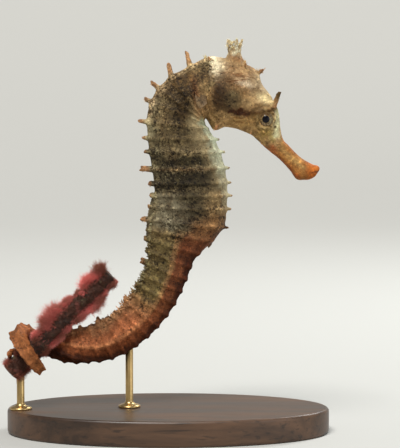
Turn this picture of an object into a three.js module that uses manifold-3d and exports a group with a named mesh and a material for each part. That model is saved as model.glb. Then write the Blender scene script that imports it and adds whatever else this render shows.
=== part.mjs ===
// A life-size seahorse that grips a cut length of encrusted stem with its tail, on a display stand.
// Millimetres. +X is the side the snout points to, +Y the animal's left, +Z up.
// The origin is the middle of the stand base's underside.
import * as THREE from "three";
import { LoftGeometry } from "three/addons/geometries/LoftGeometry.js";
import { mergeVertices } from "three/addons/utils/BufferGeometryUtils.js";
import Module from "manifold-3d";

const wasm = await Module();
wasm.setup();

// ---------------------------------------------------------------- driving dimensions

const GAP = 0.3; // clear space where two pieces meet
const EMBED = 0.6; // how deep a spine is rooted in the body

// Trunk and tail, from the nape to the last straight stretch before the grip. dorsal and ventral are [x, z]
// points of the outline, off is the shift in y, twist turns the belly towards the stem, and tail goes from 0,
// the trunk's seven-ridged section, to 1, the tail's square one.
const STATIONS = [
  { dorsal: [9.2, 88.1], ventral: [8.9, 74.1], halfWidth: 3.8 }, // nape
  { dorsal: [5.4, 86.2], ventral: [8.6, 74.0], halfWidth: 4.0 },
  { dorsal: [0.5, 83.6], ventral: [8.5, 73.7], halfWidth: 4.1 },
  { dorsal: [-3.2, 79.4], ventral: [8.6, 73.3], halfWidth: 4.2 },
  { dorsal: [-4.7, 74.5], ventral: [9.1, 72.4], halfWidth: 4.5 }, // chest
  { dorsal: [-4.5, 70.3], ventral: [10.7, 69.9], halfWidth: 4.8 },
  { dorsal: [-4.1, 66.3], ventral: [12.4, 66.2], halfWidth: 5.1 },
  { dorsal: [-3.4, 62.0], ventral: [13.5, 62.3], halfWidth: 5.2 },
  { dorsal: [-2.9, 57.8], ventral: [14.0, 58.0], halfWidth: 5.3 }, // belly
  { dorsal: [-3.3, 53.8], ventral: [13.9, 53.4], halfWidth: 5.2 },
  { dorsal: [-4.0, 50.7], ventral: [13.3, 48.9], halfWidth: 5.0 },
  { dorsal: [-4.3, 47.7], ventral: [10.3, 44.9], halfWidth: 4.6, tail: 0.3 }, // vent
  { dorsal: [-4.4, 44.7], ventral: [6.2, 41.1], halfWidth: 4.2, tail: 0.8 },
  { dorsal: [-4.4, 41.0], ventral: [4.5, 37.5], halfWidth: 4.0, tail: 1 },
  { dorsal: [-5.4, 37.6], ventral: [3.0, 33.9], halfWidth: 3.9, tail: 1 },
  { dorsal: [-6.8, 34.4], ventral: [1.1, 30.3], halfWidth: 3.8, tail: 1 },
  { dorsal: [-8.6, 31.5], ventral: [-1.7, 26.4], halfWidth: 3.7, tail: 1 },
  { dorsal: [-10.9, 29.0], ventral: [-5.2, 22.8], halfWidth: 3.6, tail: 1 },
  { dorsal: [-13.7, 27.0], ventral: [-9.4, 19.7], halfWidth: 3.6, tail: 1 },
  { dorsal: [-17.0, 25.5], ventral: [-14.3, 17.6], halfWidth: 3.5, tail: 1 },
  { dorsal: [-20.2, 24.5], ventral: [-18.8, 16.9], halfWidth: 3.3, tail: 1, off: 0.1, twist: 12 },
  { dorsal: [-23.1, 23.4], ventral: [-22.6, 16.9], halfWidth: 3.0, tail: 1, off: 0.4, twist: 32 },
  { dorsal: [-25.4, 22.6], ventral: [-26.2, 17.3], halfWidth: 2.65, tail: 1, off: 0.9, twist: 56 },
];

// Bony rings: one at the nape, eleven on the trunk and thirty-six on the tail. The crests of the first
// twelve are lengths along the body's middle line, closer where the neck bends.
const TRUNK_CRESTS = [2.4, 5.0, 7.2, 9.3, 11.9, 15.1, 18.3, 21.9, 25.4, 28.7, 32.0, 35.4];
const BODY_START = 0.4;
const TRUNK_END = 37.1;
const TAIL_RINGS = 36;
const TAIL_PITCH_TAPER = 0.5; // the last ring is this much shorter than the first
const CREST_RELIEF = 0.24;
const GROOVE_RELIEF = -0.14;

// The stem: a straight rod that leans in the plane of the body, nearer to the viewer than the body is.
const STEM_RADIUS = 2.35;
const STEM_LEAN = THREE.MathUtils.degToRad(44.7);
const STEM_Y = -3.2;
const STEM_CROSSING = [-30.6, 20.9]; // [x, z] where the tail first passes behind it
const STEM_BELOW = 8.8; // length below the crossing
const STEM_ABOVE = 24.0; // length above it
// The grip: the tail runs round the stem as a tapering helix, belly side in.
const GRIP_TURNS = 1.35;
const GRIP_PITCH = 4.6;
const GRIP_STEPS_PER_TURN = 12;
const GRIP_CLEAR = 0.35;
const TIP_HALF = 0.55;

// Head, from the gill opening to the lips, as [dorsal, ventral, half width].
const HEAD = [
  { dorsal: [9.4, 88.5], ventral: [9.1, 73.8], halfWidth: 3.8 },
  { dorsal: [10.8, 88.6], ventral: [10.8, 71.4], halfWidth: 4.4 },
  { dorsal: [13.6, 88.1], ventral: [13.4, 72.1], halfWidth: 4.8 },
  { dorsal: [17.2, 87.2], ventral: [16.0, 71.7], halfWidth: 4.4 },
  { dorsal: [20.8, 85.3], ventral: [17.4, 71.2], halfWidth: 3.6 },
  { dorsal: [22.0, 82.2], ventral: [18.6, 70.7], halfWidth: 3.15 },
  { dorsal: [24.0, 79.5], ventral: [19.5, 70.3], halfWidth: 2.95 },
  { dorsal: [25.8, 75.9], ventral: [20.7, 69.3], halfWidth: 2.7 },
  { dorsal: [26.3, 71.9], ventral: [22.1, 67.9], halfWidth: 2.1, snout: 0.3 },
  { dorsal: [27.0, 69.3], ventral: [23.6, 66.6], halfWidth: 1.75, snout: 0.8 },
];
const SNOUT = [
  { dorsal: [27.2, 69.0], ventral: [23.8, 66.4], halfWidth: 1.7, snout: 0.9 },
  { dorsal: [28.2, 67.9], ventral: [25.4, 65.2], halfWidth: 1.5, snout: 1 },
  { dorsal: [29.8, 66.2], ventral: [27.0, 63.7], halfWidth: 1.45, snout: 1 },
  { dorsal: [31.4, 64.8], ventral: [28.7, 61.8], halfWidth: 1.5, snout: 1 },
  { dorsal: [32.9, 63.9], ventral: [30.1, 59.9], halfWidth: 1.7, snout: 1 },
  { dorsal: [34.1, 63.3], ventral: [31.8, 59.7], halfWidth: 1.6, snout: 1 },
  { dorsal: [35.4, 62.3], ventral: [34.1, 60.1], halfWidth: 1.1, snout: 1 },
];
const EYE_CENTRE = [22.8, 1.95, 74.0];
const EYE_RADIUS = 1.75;
const CORONET = { x: 15.4, root: 87.0, waist: 89.2, crown: 90.4, tip: 92.5, prongs: 5 };

// Stand.
const BASE = { length: 76, width: 42, thickness: 6, bevel: 0.8 };
const ROD_RADIUS = 0.9;
const ROD_FOOT = { radius: 2.6, height: 1.2 };
const TAIL_ROD = { x: -9.2, y: 0, top: 22.4 };
const STEM_ROD = { x: -34.6, y: STEM_Y, top: 15.2 };
const ROD_SOCKET_CLEAR = 0.3;

// ---------------------------------------------------------------- finishes

const finish = (color, roughness, metalness = 0) => new THREE.MeshStandardMaterial({ color, roughness, metalness });
const FINISH = {
  head: finish(0xb59a72, 0.75),
  snout: finish(0xb8672c, 0.6),
  coronet: finish(0xc9b48c, 0.75),
  trunk: finish(0x7d7462, 0.8),
  tail: finish(0x8a5433, 0.75),
  fin: finish(0xbfae8e, 0.6),
  eye: finish(0x2a2416, 0.15),
  stem: finish(0x6a3a34, 0.95),
  base: finish(0x3a2a1e, 0.5),
  rod: finish(0xa8884e, 0.35, 1),
};

// ---------------------------------------------------------------- solids

// A closed three.js geometry as a manifold-3d solid, with its faces pointing out.
function solid(geometry) {
  const bare = new THREE.BufferGeometry();
  bare.setAttribute("position", geometry.getAttribute("position"));
  bare.setIndex(geometry.index);
  const merged = mergeVertices(bare, 1e-4);
  const corners = merged.index.array;
  const kept = [];
  for (let i = 0; i < corners.length; i += 3) {
    const [a, b, c] = corners.slice(i, i + 3);
    if (a !== b && b !== c && c !== a) kept.push(a, b, c);
  }
  const build = (triangles) =>
    new wasm.Manifold(
      new wasm.Mesh({
        numProp: 3,
        vertProperties: merged.attributes.position.array,
        triVerts: new Uint32Array(triangles),
      }),
    );
  const made = build(kept);
  return made.volume() > 0 ? made : build(kept.reverse());
}

// A solid back as a three.js geometry.
function geometryOf(manifold) {
  const mesh = manifold.getMesh();
  const places = [];
  for (let i = 0; i < mesh.numVert; i++) {
    places.push(...mesh.vertProperties.slice(i * mesh.numProp, i * mesh.numProp + 3));
  }
  const geometry = new THREE.BufferGeometry();
  geometry.setAttribute("position", new THREE.Float32BufferAttribute(places, 3));
  geometry.setIndex([...mesh.triVerts]);
  geometry.computeVertexNormals();
  return geometry;
}

// The biggest of the bodies that a cut leaves.
function largest(manifold) {
  return manifold.decompose().reduce((best, one) => (one.volume() > best.volume() ? one : best));
}

const union = (first, ...others) => others.reduce((joined, one) => joined.add(one), first);
const loft = (loops) => solid(new LoftGeometry(loops, { capStart: true, capEnd: true }));

// A blunt spine: a truncated cone from a point on the skin, rooted in the body.
function spine(foot, direction, length, footRadius, tipRadius = 0.28, sides = 5) {
  const way = direction.clone().normalize();
  const geometry = new THREE.CylinderGeometry(tipRadius, footRadius, length + EMBED, sides);
  geometry.translate(0, (length + EMBED) / 2 - EMBED, 0);
  geometry.applyQuaternion(new THREE.Quaternion().setFromUnitVectors(new THREE.Vector3(0, 1, 0), way));
  geometry.translate(foot.x, foot.y, foot.z);
  return solid(geometry);
}

// ---------------------------------------------------------------- body lines

const inPlane = ([x, z], y = 0) => new THREE.Vector3(x, y, z);
const stemDirection = new THREE.Vector3(Math.cos(STEM_LEAN), 0, Math.sin(STEM_LEAN));
const stemNormal = new THREE.Vector3(-Math.sin(STEM_LEAN), 0, Math.cos(STEM_LEAN));
const stemAt = (along) => inPlane(STEM_CROSSING, STEM_Y).addScaledVector(stemDirection, along);

// A station's dorsal and ventral points in space, after its shift and twist.
function placed(station) {
  const dorsal = inPlane(station.dorsal, station.off ?? 0);
  const ventral = inPlane(station.ventral, station.off ?? 0);
  const centre = dorsal.clone().add(ventral).multiplyScalar(0.5);
  const half = dorsal.clone().sub(centre);
  const twist = THREE.MathUtils.degToRad(station.twist ?? 0);
  const up = half.clone().multiplyScalar(Math.cos(twist));
  up.y += half.length() * Math.sin(twist);
  return {
    dorsal: centre.clone().add(up),
    ventral: centre.clone().sub(up),
    traits: new THREE.Vector3(station.halfWidth, station.tail ?? 0, station.snout ?? 0),
  };
}

// The stations of the grip: round the stem from the crossing behind it to the tip.
function gripStations() {
  const made = [];
  const last = STATIONS[STATIONS.length - 1];
  const steps = Math.round(GRIP_TURNS * GRIP_STEPS_PER_TURN);
  for (let step = 0; step <= steps; step++) {
    const turn = step / GRIP_STEPS_PER_TURN;
    const half = THREE.MathUtils.lerp(last.halfWidth * 0.92, TIP_HALF, (step / steps) ** 0.85);
    const angle = turn * 2 * Math.PI;
    const out = new THREE.Vector3(0, Math.cos(angle), 0).addScaledVector(stemNormal, Math.sin(angle));
    const centre = stemAt(-GRIP_PITCH * turn).addScaledVector(out, STEM_RADIUS + GRIP_CLEAR + half);
    made.push({
      dorsal: centre.clone().addScaledVector(out, half),
      ventral: centre.clone().addScaledVector(out, -half),
      traits: new THREE.Vector3(half * 0.95, 1, 0),
    });
  }
  return made;
}

// A body line: smooth curves through the stations' dorsal points, ventral points and traits.
function bodyLine(stations) {
  const through = (key) =>
    new THREE.CatmullRomCurve3(
      stations.map((station) => station[key]),
      false,
      "catmullrom",
      0.5,
    );
  const [dorsal, ventral, traits] = ["dorsal", "ventral", "traits"].map(through);
  const middle = (t) => dorsal.getPoint(t).add(ventral.getPoint(t)).multiplyScalar(0.5);
  const steps = (stations.length - 1) * 24;
  const lengths = [0];
  for (let i = 1; i <= steps; i++) {
    lengths.push(lengths[i - 1] + middle(i / steps).distanceTo(middle((i - 1) / steps)));
  }
  const total = lengths[steps];
  const shareAt = (length) => {
    const goal = THREE.MathUtils.clamp(length, 0, total);
    let i = lengths.findIndex((known) => known >= goal);
    i = Math.max(1, i);
    return (i - 1 + (goal - lengths[i - 1]) / (lengths[i] - lengths[i - 1])) / steps;
  };
  const at = (length) => {
    const t = shareAt(length);
    const centre = middle(t);
    const up = dorsal.getPoint(t).sub(centre);
    const halfDepth = up.length();
    up.normalize();
    const ahead = middle(Math.min(1, t + 1e-4)).sub(middle(Math.max(0, t - 1e-4))).normalize();
    const side = ahead.clone().cross(up).normalize();
    const trait = traits.getPoint(t);
    return { centre, up, side, ahead, halfDepth, halfWidth: trait.x, tail: trait.y, snout: trait.z };
  };
  return { at, total };
}

// Section corners as [sideways, up] in half widths and half depths: back, upper ridge, side ridge, lower
// ridge, belly. The other side mirrors them.
const TRUNK_SECTION = [[0, 0.93], [0.42, 1.0], [1.0, 0.12], [0.64, -0.76], [0, -1.0]];
const TAIL_SECTION = [[0, 0.9], [0.78, 1.0], [0.96, 0.0], [0.72, -0.97], [0, -0.96]];
const HEAD_SECTION = [[0, 1.0], [0.46, 0.78], [0.98, -0.02], [0.74, -0.62], [0, -1.0]];
const SNOUT_SECTION = [[0, 1.0], [0.74, 0.72], [1.0, 0], [0.74, -0.72], [0, -1.0]];
const CORNERS = 8;
const UPPER_RIDGE = 1;
const SIDE_RIDGE = 2;
const LOWER_RIDGE = 3;
const KEEL = 4;
const SHORTEST_SPINE = 0.3;

const blend = (a, b, share) => a.map((corner, i) => corner.map((v, k) => THREE.MathUtils.lerp(v, b[i][k], share)));

// The point of a station that lies at one corner of its section, grown outwards by some millimetres.
function cornerPoint(station, section, corner, grow, right) {
  const [across, high] = section[corner];
  const sign = right ? 1 : -1;
  return station.centre
    .clone()
    .addScaledVector(station.side, sign * across * (station.halfWidth + grow))
    .addScaledVector(station.up, high * (station.halfDepth + grow));
}

// The closed loop of a section, through its corners and the smooth points between them.
function loop(station, section, grow, points) {
  const corners = [];
  for (let i = 0; i < CORNERS; i++) {
    const right = i <= 4;
    corners.push(cornerPoint(station, section, right ? i : CORNERS - i, grow, right));
  }
  const round = new THREE.CatmullRomCurve3(corners, true, "catmullrom", 0.42);
  return Array.from({ length: points }, (_, i) => round.getPoint(i / points));
}

// ---------------------------------------------------------------- trunk and tail

const body = bodyLine([...STATIONS.map(placed), ...gripStations()]);
const bodySection = (station) => blend(TRUNK_SECTION, TAIL_SECTION, THREE.MathUtils.clamp(station.tail, 0, 1));

// Every ring's start, crest and end along the body.
const rings = TRUNK_CRESTS.map((crest, i) => ({
  start: i === 0 ? BODY_START : (TRUNK_CRESTS[i - 1] + crest) / 2,
  crest,
  end: i === TRUNK_CRESTS.length - 1 ? TRUNK_END : (crest + TRUNK_CRESTS[i + 1]) / 2,
  trunk: i,
}));
const tailPitch = (i) => 1 - (TAIL_PITCH_TAPER * i) / (TAIL_RINGS - 1);
const pitchSum = Array.from({ length: TAIL_RINGS }, (_, i) => tailPitch(i)).reduce((sum, one) => sum + one);
const tailUnit = (body.total - TRUNK_END) / pitchSum;
for (let i = 0, start = TRUNK_END; i < TAIL_RINGS; i++) {
  const pitch = tailPitch(i) * tailUnit;
  rings.push({ start, crest: start + pitch / 2, end: start + pitch, tail: i });
  start += pitch;
}

// How long a ring's spines are: tall on the first rings and then on every third or fourth.
const UPPER_SPINES = [3.6, 3.3, 2.3, 1.7, 2.3, 1.5, 1.4, 2.9, 1.7, 1.3, 1.4, 2.3];
const NAPE_LEAN = 0.45; // how far the second ring's spines tip towards the head
function spineLengths(ring) {
  if (ring.trunk !== undefined) {
    return {
      upper: UPPER_SPINES[ring.trunk],
      side: ring.trunk > 3 ? 0.5 : 0,
      lower: ring.trunk > 3 ? 0.6 : 0,
      keel: ring.trunk > 4 ? 0.9 : 0,
    };
  }
  const fade = Math.max(0, 1 - ring.tail / 24);
  const tall = ring.tail % 4 === 3;
  return { upper: (tall ? 1.9 : 1.0) * fade, side: 0, lower: 0, keel: 0 };
}

function ringSpines(ring) {
  const station = body.at(ring.crest);
  const section = bodySection(station);
  const lengths = spineLengths(ring);
  const wanted = [
    [UPPER_RIDGE, lengths.upper, 0.75, 0.45],
    [SIDE_RIDGE, lengths.side, 0.6, 1.0],
    [LOWER_RIDGE, lengths.lower, 0.6, 0.6],
    [KEEL, lengths.keel, 0.6, 0],
  ];
  const made = [];
  for (const [corner, length, footRadius, spread] of wanted) {
    if (length < SHORTEST_SPINE) continue;
    for (const right of corner === KEEL ? [true] : [true, false]) {
      const foot = cornerPoint(station, section, corner, CREST_RELIEF * 0.6, right);
      const [across, high] = section[corner];
      const way = station.side.clone().multiplyScalar((right ? 1 : -1) * across * spread);
      way.addScaledVector(station.up, corner === SIDE_RIDGE ? 0.1 : high);
      if (ring.trunk === 1) way.addScaledVector(station.ahead, -NAPE_LEAN);
      const sides = length > 1.2 ? 5 : 4;
      made.push(spine(foot, way, length, Math.min(footRadius, station.halfWidth * 0.3), 0.28, sides));
    }
  }
  return made;
}

// One length of the body from ring to ring, parted from its neighbours by half a gap at each end.
function bodyLoops(first, last, points, grow = 0) {
  const loops = [];
  const add = (length, relief) => {
    const station = body.at(length);
    const most = station.halfWidth * 0.12;
    loops.push(loop(station, bodySection(station), grow + Math.min(relief, most), points));
  };
  add(rings[first].start + (GAP / 2) * (grow ? -1 : 1), GROOVE_RELIEF);
  for (let i = first; i <= last; i++) {
    add(rings[i].crest, CREST_RELIEF);
    if (i < last) add(rings[i].end, GROOVE_RELIEF);
  }
  add(rings[last].end - (GAP / 2) * (grow ? -1 : 1), GROOVE_RELIEF);
  return loops;
}

function bodyLength(first, last, points) {
  const spines = rings.slice(first, last + 1).flatMap(ringSpines);
  return union(loft(bodyLoops(first, last, points)), ...spines);
}

// ---------------------------------------------------------------- head

// A head or snout loft, with loops at even steps along its line.
function headLoft(stations, steps, points, grow = 0) {
  const line = bodyLine(stations.map(placed));
  const loops = [];
  for (let i = 0; i <= steps; i++) {
    const end = i === 0 ? -grow : i === steps ? grow : 0;
    const station = line.at((line.total * i) / steps);
    station.centre.addScaledVector(station.ahead, end);
    const section = blend(HEAD_SECTION, SNOUT_SECTION, THREE.MathUtils.clamp(station.snout, 0, 1));
    loops.push(loop(station, section, grow, points));
  }
  return loft(loops);
}

function sphereAt([x, y, z], radius, segments) {
  const geometry = new THREE.SphereGeometry(radius, segments, Math.round(segments * 0.6));
  geometry.translate(x, y, z);
  return solid(geometry);
}

const mirrored = ([x, y, z], right) => [x, right ? -y : y, z];

// Paired spines: over the eye, at the cheek and at the gill corner; single ones on the crown.
const HEAD_SPINES = [
  { foot: [24.9, 1.5, 77.4], tip: [26.0, 2.2, 80.7], radius: 0.7 },
  { foot: [22.2, 2.3, 71.2], tip: [22.6, 3.3, 70.6], radius: 0.5 },
  { foot: [11.4, 2.4, 71.9], tip: [11.3, 3.1, 70.8], radius: 0.6 },
  { foot: [21.2, 0.6, 84.9], tip: [22.5, 0.9, 85.6], radius: 0.5 },
];

function headSpines() {
  return HEAD_SPINES.flatMap(({ foot, tip, radius }) =>
    [true, false].map((right) => {
      const from = new THREE.Vector3(...mirrored(foot, right));
      const way = new THREE.Vector3(...mirrored(tip, right)).sub(from);
      return spine(from, way, way.length(), radius, 0.25);
    }),
  );
}

const trunkClear = () => loft(bodyLoops(0, 6, 16, GAP));

function head() {
  let made = union(headLoft(HEAD, 12, 16), ...headSpines()).subtract(trunkClear());
  for (const right of [true, false]) {
    made = made.subtract(sphereAt(mirrored(EYE_CENTRE, right), EYE_RADIUS + GAP, 12));
  }
  return largest(made);
}

// The crown on the head: a narrow stalk that flares into prongs.
function coronet() {
  const levels = [
    [CORONET.root, 2.3, 1.5],
    [CORONET.waist, 1.35, 1.0],
    [CORONET.crown, 1.7, 1.4],
  ];
  const loops = levels.map(([height, halfLength, halfWidth]) =>
    Array.from({ length: 10 }, (_, i) => {
      const angle = (i / 10) * 2 * Math.PI;
      return new THREE.Vector3(
        CORONET.x + Math.cos(angle) * halfLength,
        Math.sin(angle) * halfWidth,
        height,
      );
    }),
  );
  const centre = new THREE.Vector3(CORONET.x, 0, CORONET.waist + 0.3);
  const prongs = Array.from({ length: CORONET.prongs }, (_, i) => {
    const angle = (i / CORONET.prongs) * 2 * Math.PI;
    const way = new THREE.Vector3(Math.cos(angle) * 0.75, Math.sin(angle) * 0.65, 1);
    const length = (CORONET.tip - centre.z) * way.length();
    return spine(centre, way, length, 0.8, 0.25);
  });
  return largest(union(loft(loops), ...prongs).subtract(headLoft(HEAD, 12, 16, GAP)));
}

// ---------------------------------------------------------------- fins

// A flat fan: root is its first edge, reach how far it stands out, sweep how far the tips lean back.
function fanGeometry(root, reach, sweep, thickness) {
  const outline = new THREE.Shape();
  outline.moveTo(0, 0);
  outline.quadraticCurveTo(sweep * 0.2, reach * 0.8, root * 0.3 + sweep, reach);
  outline.quadraticCurveTo(root * 0.9 + sweep, reach * 1.02, root + sweep * 0.9, reach * 0.45);
  outline.lineTo(root, 0);
  const geometry = new THREE.ExtrudeGeometry(outline, { depth: thickness, bevelEnabled: false, curveSegments: 5 });
  return geometry.translate(0, 0, -thickness / 2);
}

const FIN_THICKNESS = 0.5;

// A fan set on the skin: along is the way its root runs, out the way it stands.
function fin(foot, along, out, root, reach, sweep) {
  const x = along.clone().normalize();
  const y = out.clone().addScaledVector(x, -out.dot(x)).normalize();
  const z = x.clone().cross(y);
  const geometry = fanGeometry(root, reach, sweep, FIN_THICKNESS);
  geometry.applyMatrix4(new THREE.Matrix4().makeBasis(x, y, z).setPosition(foot));
  return solid(geometry);
}

const DORSAL_FIN = { from: 9, to: 13, reach: 2.6, sweep: 1.6 };
function dorsalFin() {
  const first = body.at(rings[DORSAL_FIN.from].crest);
  const last = body.at(rings[DORSAL_FIN.to].crest);
  const sunk = -0.5;
  const foot = first.centre.clone().addScaledVector(first.up, first.halfDepth * 0.93 + sunk);
  const end = last.centre.clone().addScaledVector(last.up, last.halfDepth * 0.93 + sunk);
  const along = end.clone().sub(foot);
  const made = fin(foot, along, first.up, along.length(), DORSAL_FIN.reach - sunk, DORSAL_FIN.sweep);
  const clear = loft(bodyLoops(DORSAL_FIN.from - 2, DORSAL_FIN.to + 3, 16, GAP));
  return largest(made.subtract(clear));
}

const ANAL_FIN = { ring: 12, root: 1.7, reach: 1.9, sweep: 0.6 };
function analFin() {
  const station = body.at(rings[ANAL_FIN.ring].crest);
  const foot = station.centre.clone().addScaledVector(station.up, -station.halfDepth * 0.9);
  const out = station.up.clone().negate();
  const made = fin(foot, station.ahead, out, ANAL_FIN.root, ANAL_FIN.reach, ANAL_FIN.sweep);
  return largest(made.subtract(loft(bodyLoops(ANAL_FIN.ring - 2, ANAL_FIN.ring + 3, 16, GAP))));
}

// The fin behind each gill cover, folded back against the neck.
const PECTORAL_FIN = { foot: [8.6, 3.5, 80.6], along: [0.12, 0, -1], out: [-1, 0.42, -0.25] };
function pectoralFin(right) {
  const [foot, along, out] = [PECTORAL_FIN.foot, PECTORAL_FIN.along, PECTORAL_FIN.out].map(
    (place) => new THREE.Vector3(...mirrored(place, right)),
  );
  const made = fin(foot, along, out, 3.4, 3.3, 0.6);
  const clear = union(loft(bodyLoops(0, 4, 16, GAP)), headLoft(HEAD, 12, 16, GAP));
  return largest(made.subtract(clear));
}

// ---------------------------------------------------------------- stem and stand

// The encrusted stem: lumpy, slightly fatter in its middle, cut square at both ends.
function stem() {
  const loops = [];
  const steps = 18;
  for (let i = 0; i <= steps; i++) {
    const share = i / steps;
    const centre = stemAt(THREE.MathUtils.lerp(-STEM_BELOW, STEM_ABOVE, share));
    const grip = share < 0.45 ? 0 : (share - 0.45) / 0.55;
    loops.push(
      Array.from({ length: 10 }, (_, k) => {
        const angle = (k / 10) * 2 * Math.PI;
        const lump = 0.12 * Math.sin(3 * angle + i * 1.7) + 0.1 * Math.sin(2 * angle - i * 2.3);
        const radius = STEM_RADIUS * (0.9 + 0.35 * lump + 0.12 * Math.sin(Math.PI * grip));
        return centre
          .clone()
          .addScaledVector(stemNormal, Math.cos(angle) * radius)
          .add(new THREE.Vector3(0, -Math.sin(angle) * radius, 0));
      }),
    );
  }
  return loft(loops).subtract(rod(STEM_ROD, ROD_SOCKET_CLEAR));
}

// A rod with a round foot, standing on the base.
function rod({ x, y, top }, grow = 0) {
  const foot = BASE.thickness;
  const profile = [
    [0, foot],
    [ROD_FOOT.radius + grow, foot],
    [ROD_FOOT.radius + grow, foot + ROD_FOOT.height * 0.4],
    [ROD_RADIUS + grow, foot + ROD_FOOT.height],
    [ROD_RADIUS + grow, top + grow],
    [0, top + grow],
  ];
  const geometry = new THREE.LatheGeometry(
    profile.map(([radius, height]) => new THREE.Vector2(radius, height)),
    16,
  );
  geometry.rotateX(Math.PI / 2);
  geometry.translate(x, y, 0);
  return solid(geometry);
}

function standBase() {
  const outline = new THREE.Shape();
  const reach = BASE.length / 2 - BASE.bevel;
  outline.absellipse(0, 0, reach, BASE.width / 2 - BASE.bevel, 0, 2 * Math.PI, false, 0);
  const geometry = new THREE.ExtrudeGeometry(outline, {
    depth: BASE.thickness - 2 * BASE.bevel,
    bevelThickness: BASE.bevel,
    bevelSize: BASE.bevel,
    bevelSegments: 2,
    curveSegments: 16,
  });
  geometry.translate(0, 0, BASE.bevel);
  return solid(geometry);
}

// ---------------------------------------------------------------- assembly

const seahorse = new THREE.Group();

function addNode(name, manifold, material) {
  const mesh = new THREE.Mesh(geometryOf(manifold), material);
  mesh.name = name;
  seahorse.add(mesh);
}

addNode("head", head(), FINISH.head);
addNode("snout", headLoft(SNOUT, 9, 12), FINISH.snout);
addNode("coronet", coronet(), FINISH.coronet);
for (const right of [true, false]) {
  const side = right ? "right" : "left";
  addNode(`eye_${side}`, sphereAt(mirrored(EYE_CENTRE, right), EYE_RADIUS, 14), FINISH.eye);
  addNode(`pectoral_fin_${side}`, pectoralFin(right), FINISH.fin);
}
addNode("dorsal_fin", dorsalFin(), FINISH.fin);
addNode("anal_fin", analFin(), FINISH.fin);

// The trunk in three lengths and the tail in six, as [name, first ring, last ring, points round].
const LENGTHS = [
  ["neck", 0, 3, 16, FINISH.trunk],
  ["trunk_upper", 4, 7, 16, FINISH.trunk],
  ["trunk_lower", 8, 11, 16, FINISH.trunk],
  ["tail_root", 12, 17, 12, FINISH.tail],
  ["tail_bend", 18, 22, 12, FINISH.tail],
  ["tail_reach", 23, 28, 12, FINISH.tail],
  ["tail_grip_back", 29, 33, 12, FINISH.tail],
  ["tail_grip_front", 34, 39, 12, FINISH.tail],
  ["tail_tip", 40, 47, 8, FINISH.tail],
];
for (const [name, first, last, points, material] of LENGTHS) {
  let made = bodyLength(first, last, points);
  if (name === "tail_bend") made = made.subtract(rod(TAIL_ROD, ROD_SOCKET_CLEAR));
  addNode(name, largest(made), material);
}

addNode("perch_stem", stem(), FINISH.stem);
addNode("stand_base", standBase(), FINISH.base);
addNode("stand_rod_tail", rod(TAIL_ROD), FINISH.rod);
addNode("stand_rod_perch", rod(STEM_ROD), FINISH.rod);

export default seahorse;
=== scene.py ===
# %% [markdown]
# # A life-size seahorse on a display stand
# This lesson builds a still museum model: a spiny, ringed seahorse whose tail grips a short cut length of
# encrusted stem, held over a wooden base by two thin brass rods. The CAD frame fixes the size and place of every
# part. Blender adds the looks. All the shape code works in millimetres, because the animal is small, and each
# finished mesh is scaled to metres once.

# %% Load the CAD frame
import math
import bmesh
import bpy
import numpy as np
from mathutils import Matrix, Vector
from mathutils.kdtree import KDTree


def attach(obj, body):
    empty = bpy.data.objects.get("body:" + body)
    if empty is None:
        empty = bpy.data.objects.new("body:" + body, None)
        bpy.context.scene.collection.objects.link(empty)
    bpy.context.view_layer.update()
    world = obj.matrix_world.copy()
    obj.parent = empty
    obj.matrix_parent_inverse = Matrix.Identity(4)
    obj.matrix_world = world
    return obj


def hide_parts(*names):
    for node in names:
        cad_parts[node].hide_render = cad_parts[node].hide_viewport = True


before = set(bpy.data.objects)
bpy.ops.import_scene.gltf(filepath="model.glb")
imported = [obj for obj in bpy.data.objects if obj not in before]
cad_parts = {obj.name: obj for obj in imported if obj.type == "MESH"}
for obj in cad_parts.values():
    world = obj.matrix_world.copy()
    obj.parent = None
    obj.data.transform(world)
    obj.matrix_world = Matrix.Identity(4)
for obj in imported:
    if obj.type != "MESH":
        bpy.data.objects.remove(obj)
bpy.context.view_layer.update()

MM = 0.001
scene = bpy.context.scene
FINE, BODY_COLUMNS, HEAD_COLUMNS, SOFTENINGS, SKIN_TRIANGLES, BED_TUFTS = (
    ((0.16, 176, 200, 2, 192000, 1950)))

# %% [markdown]
# ## The body line
# A seahorse has no scales. Its skin lies on bony rings, strung along a bent line from the nape to the tail's tip.
# The surest way to keep such an animal in its pose is to list where its back and its belly are at a few stations,
# to run smooth curves through them, and to hang everything else on those curves.

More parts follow.
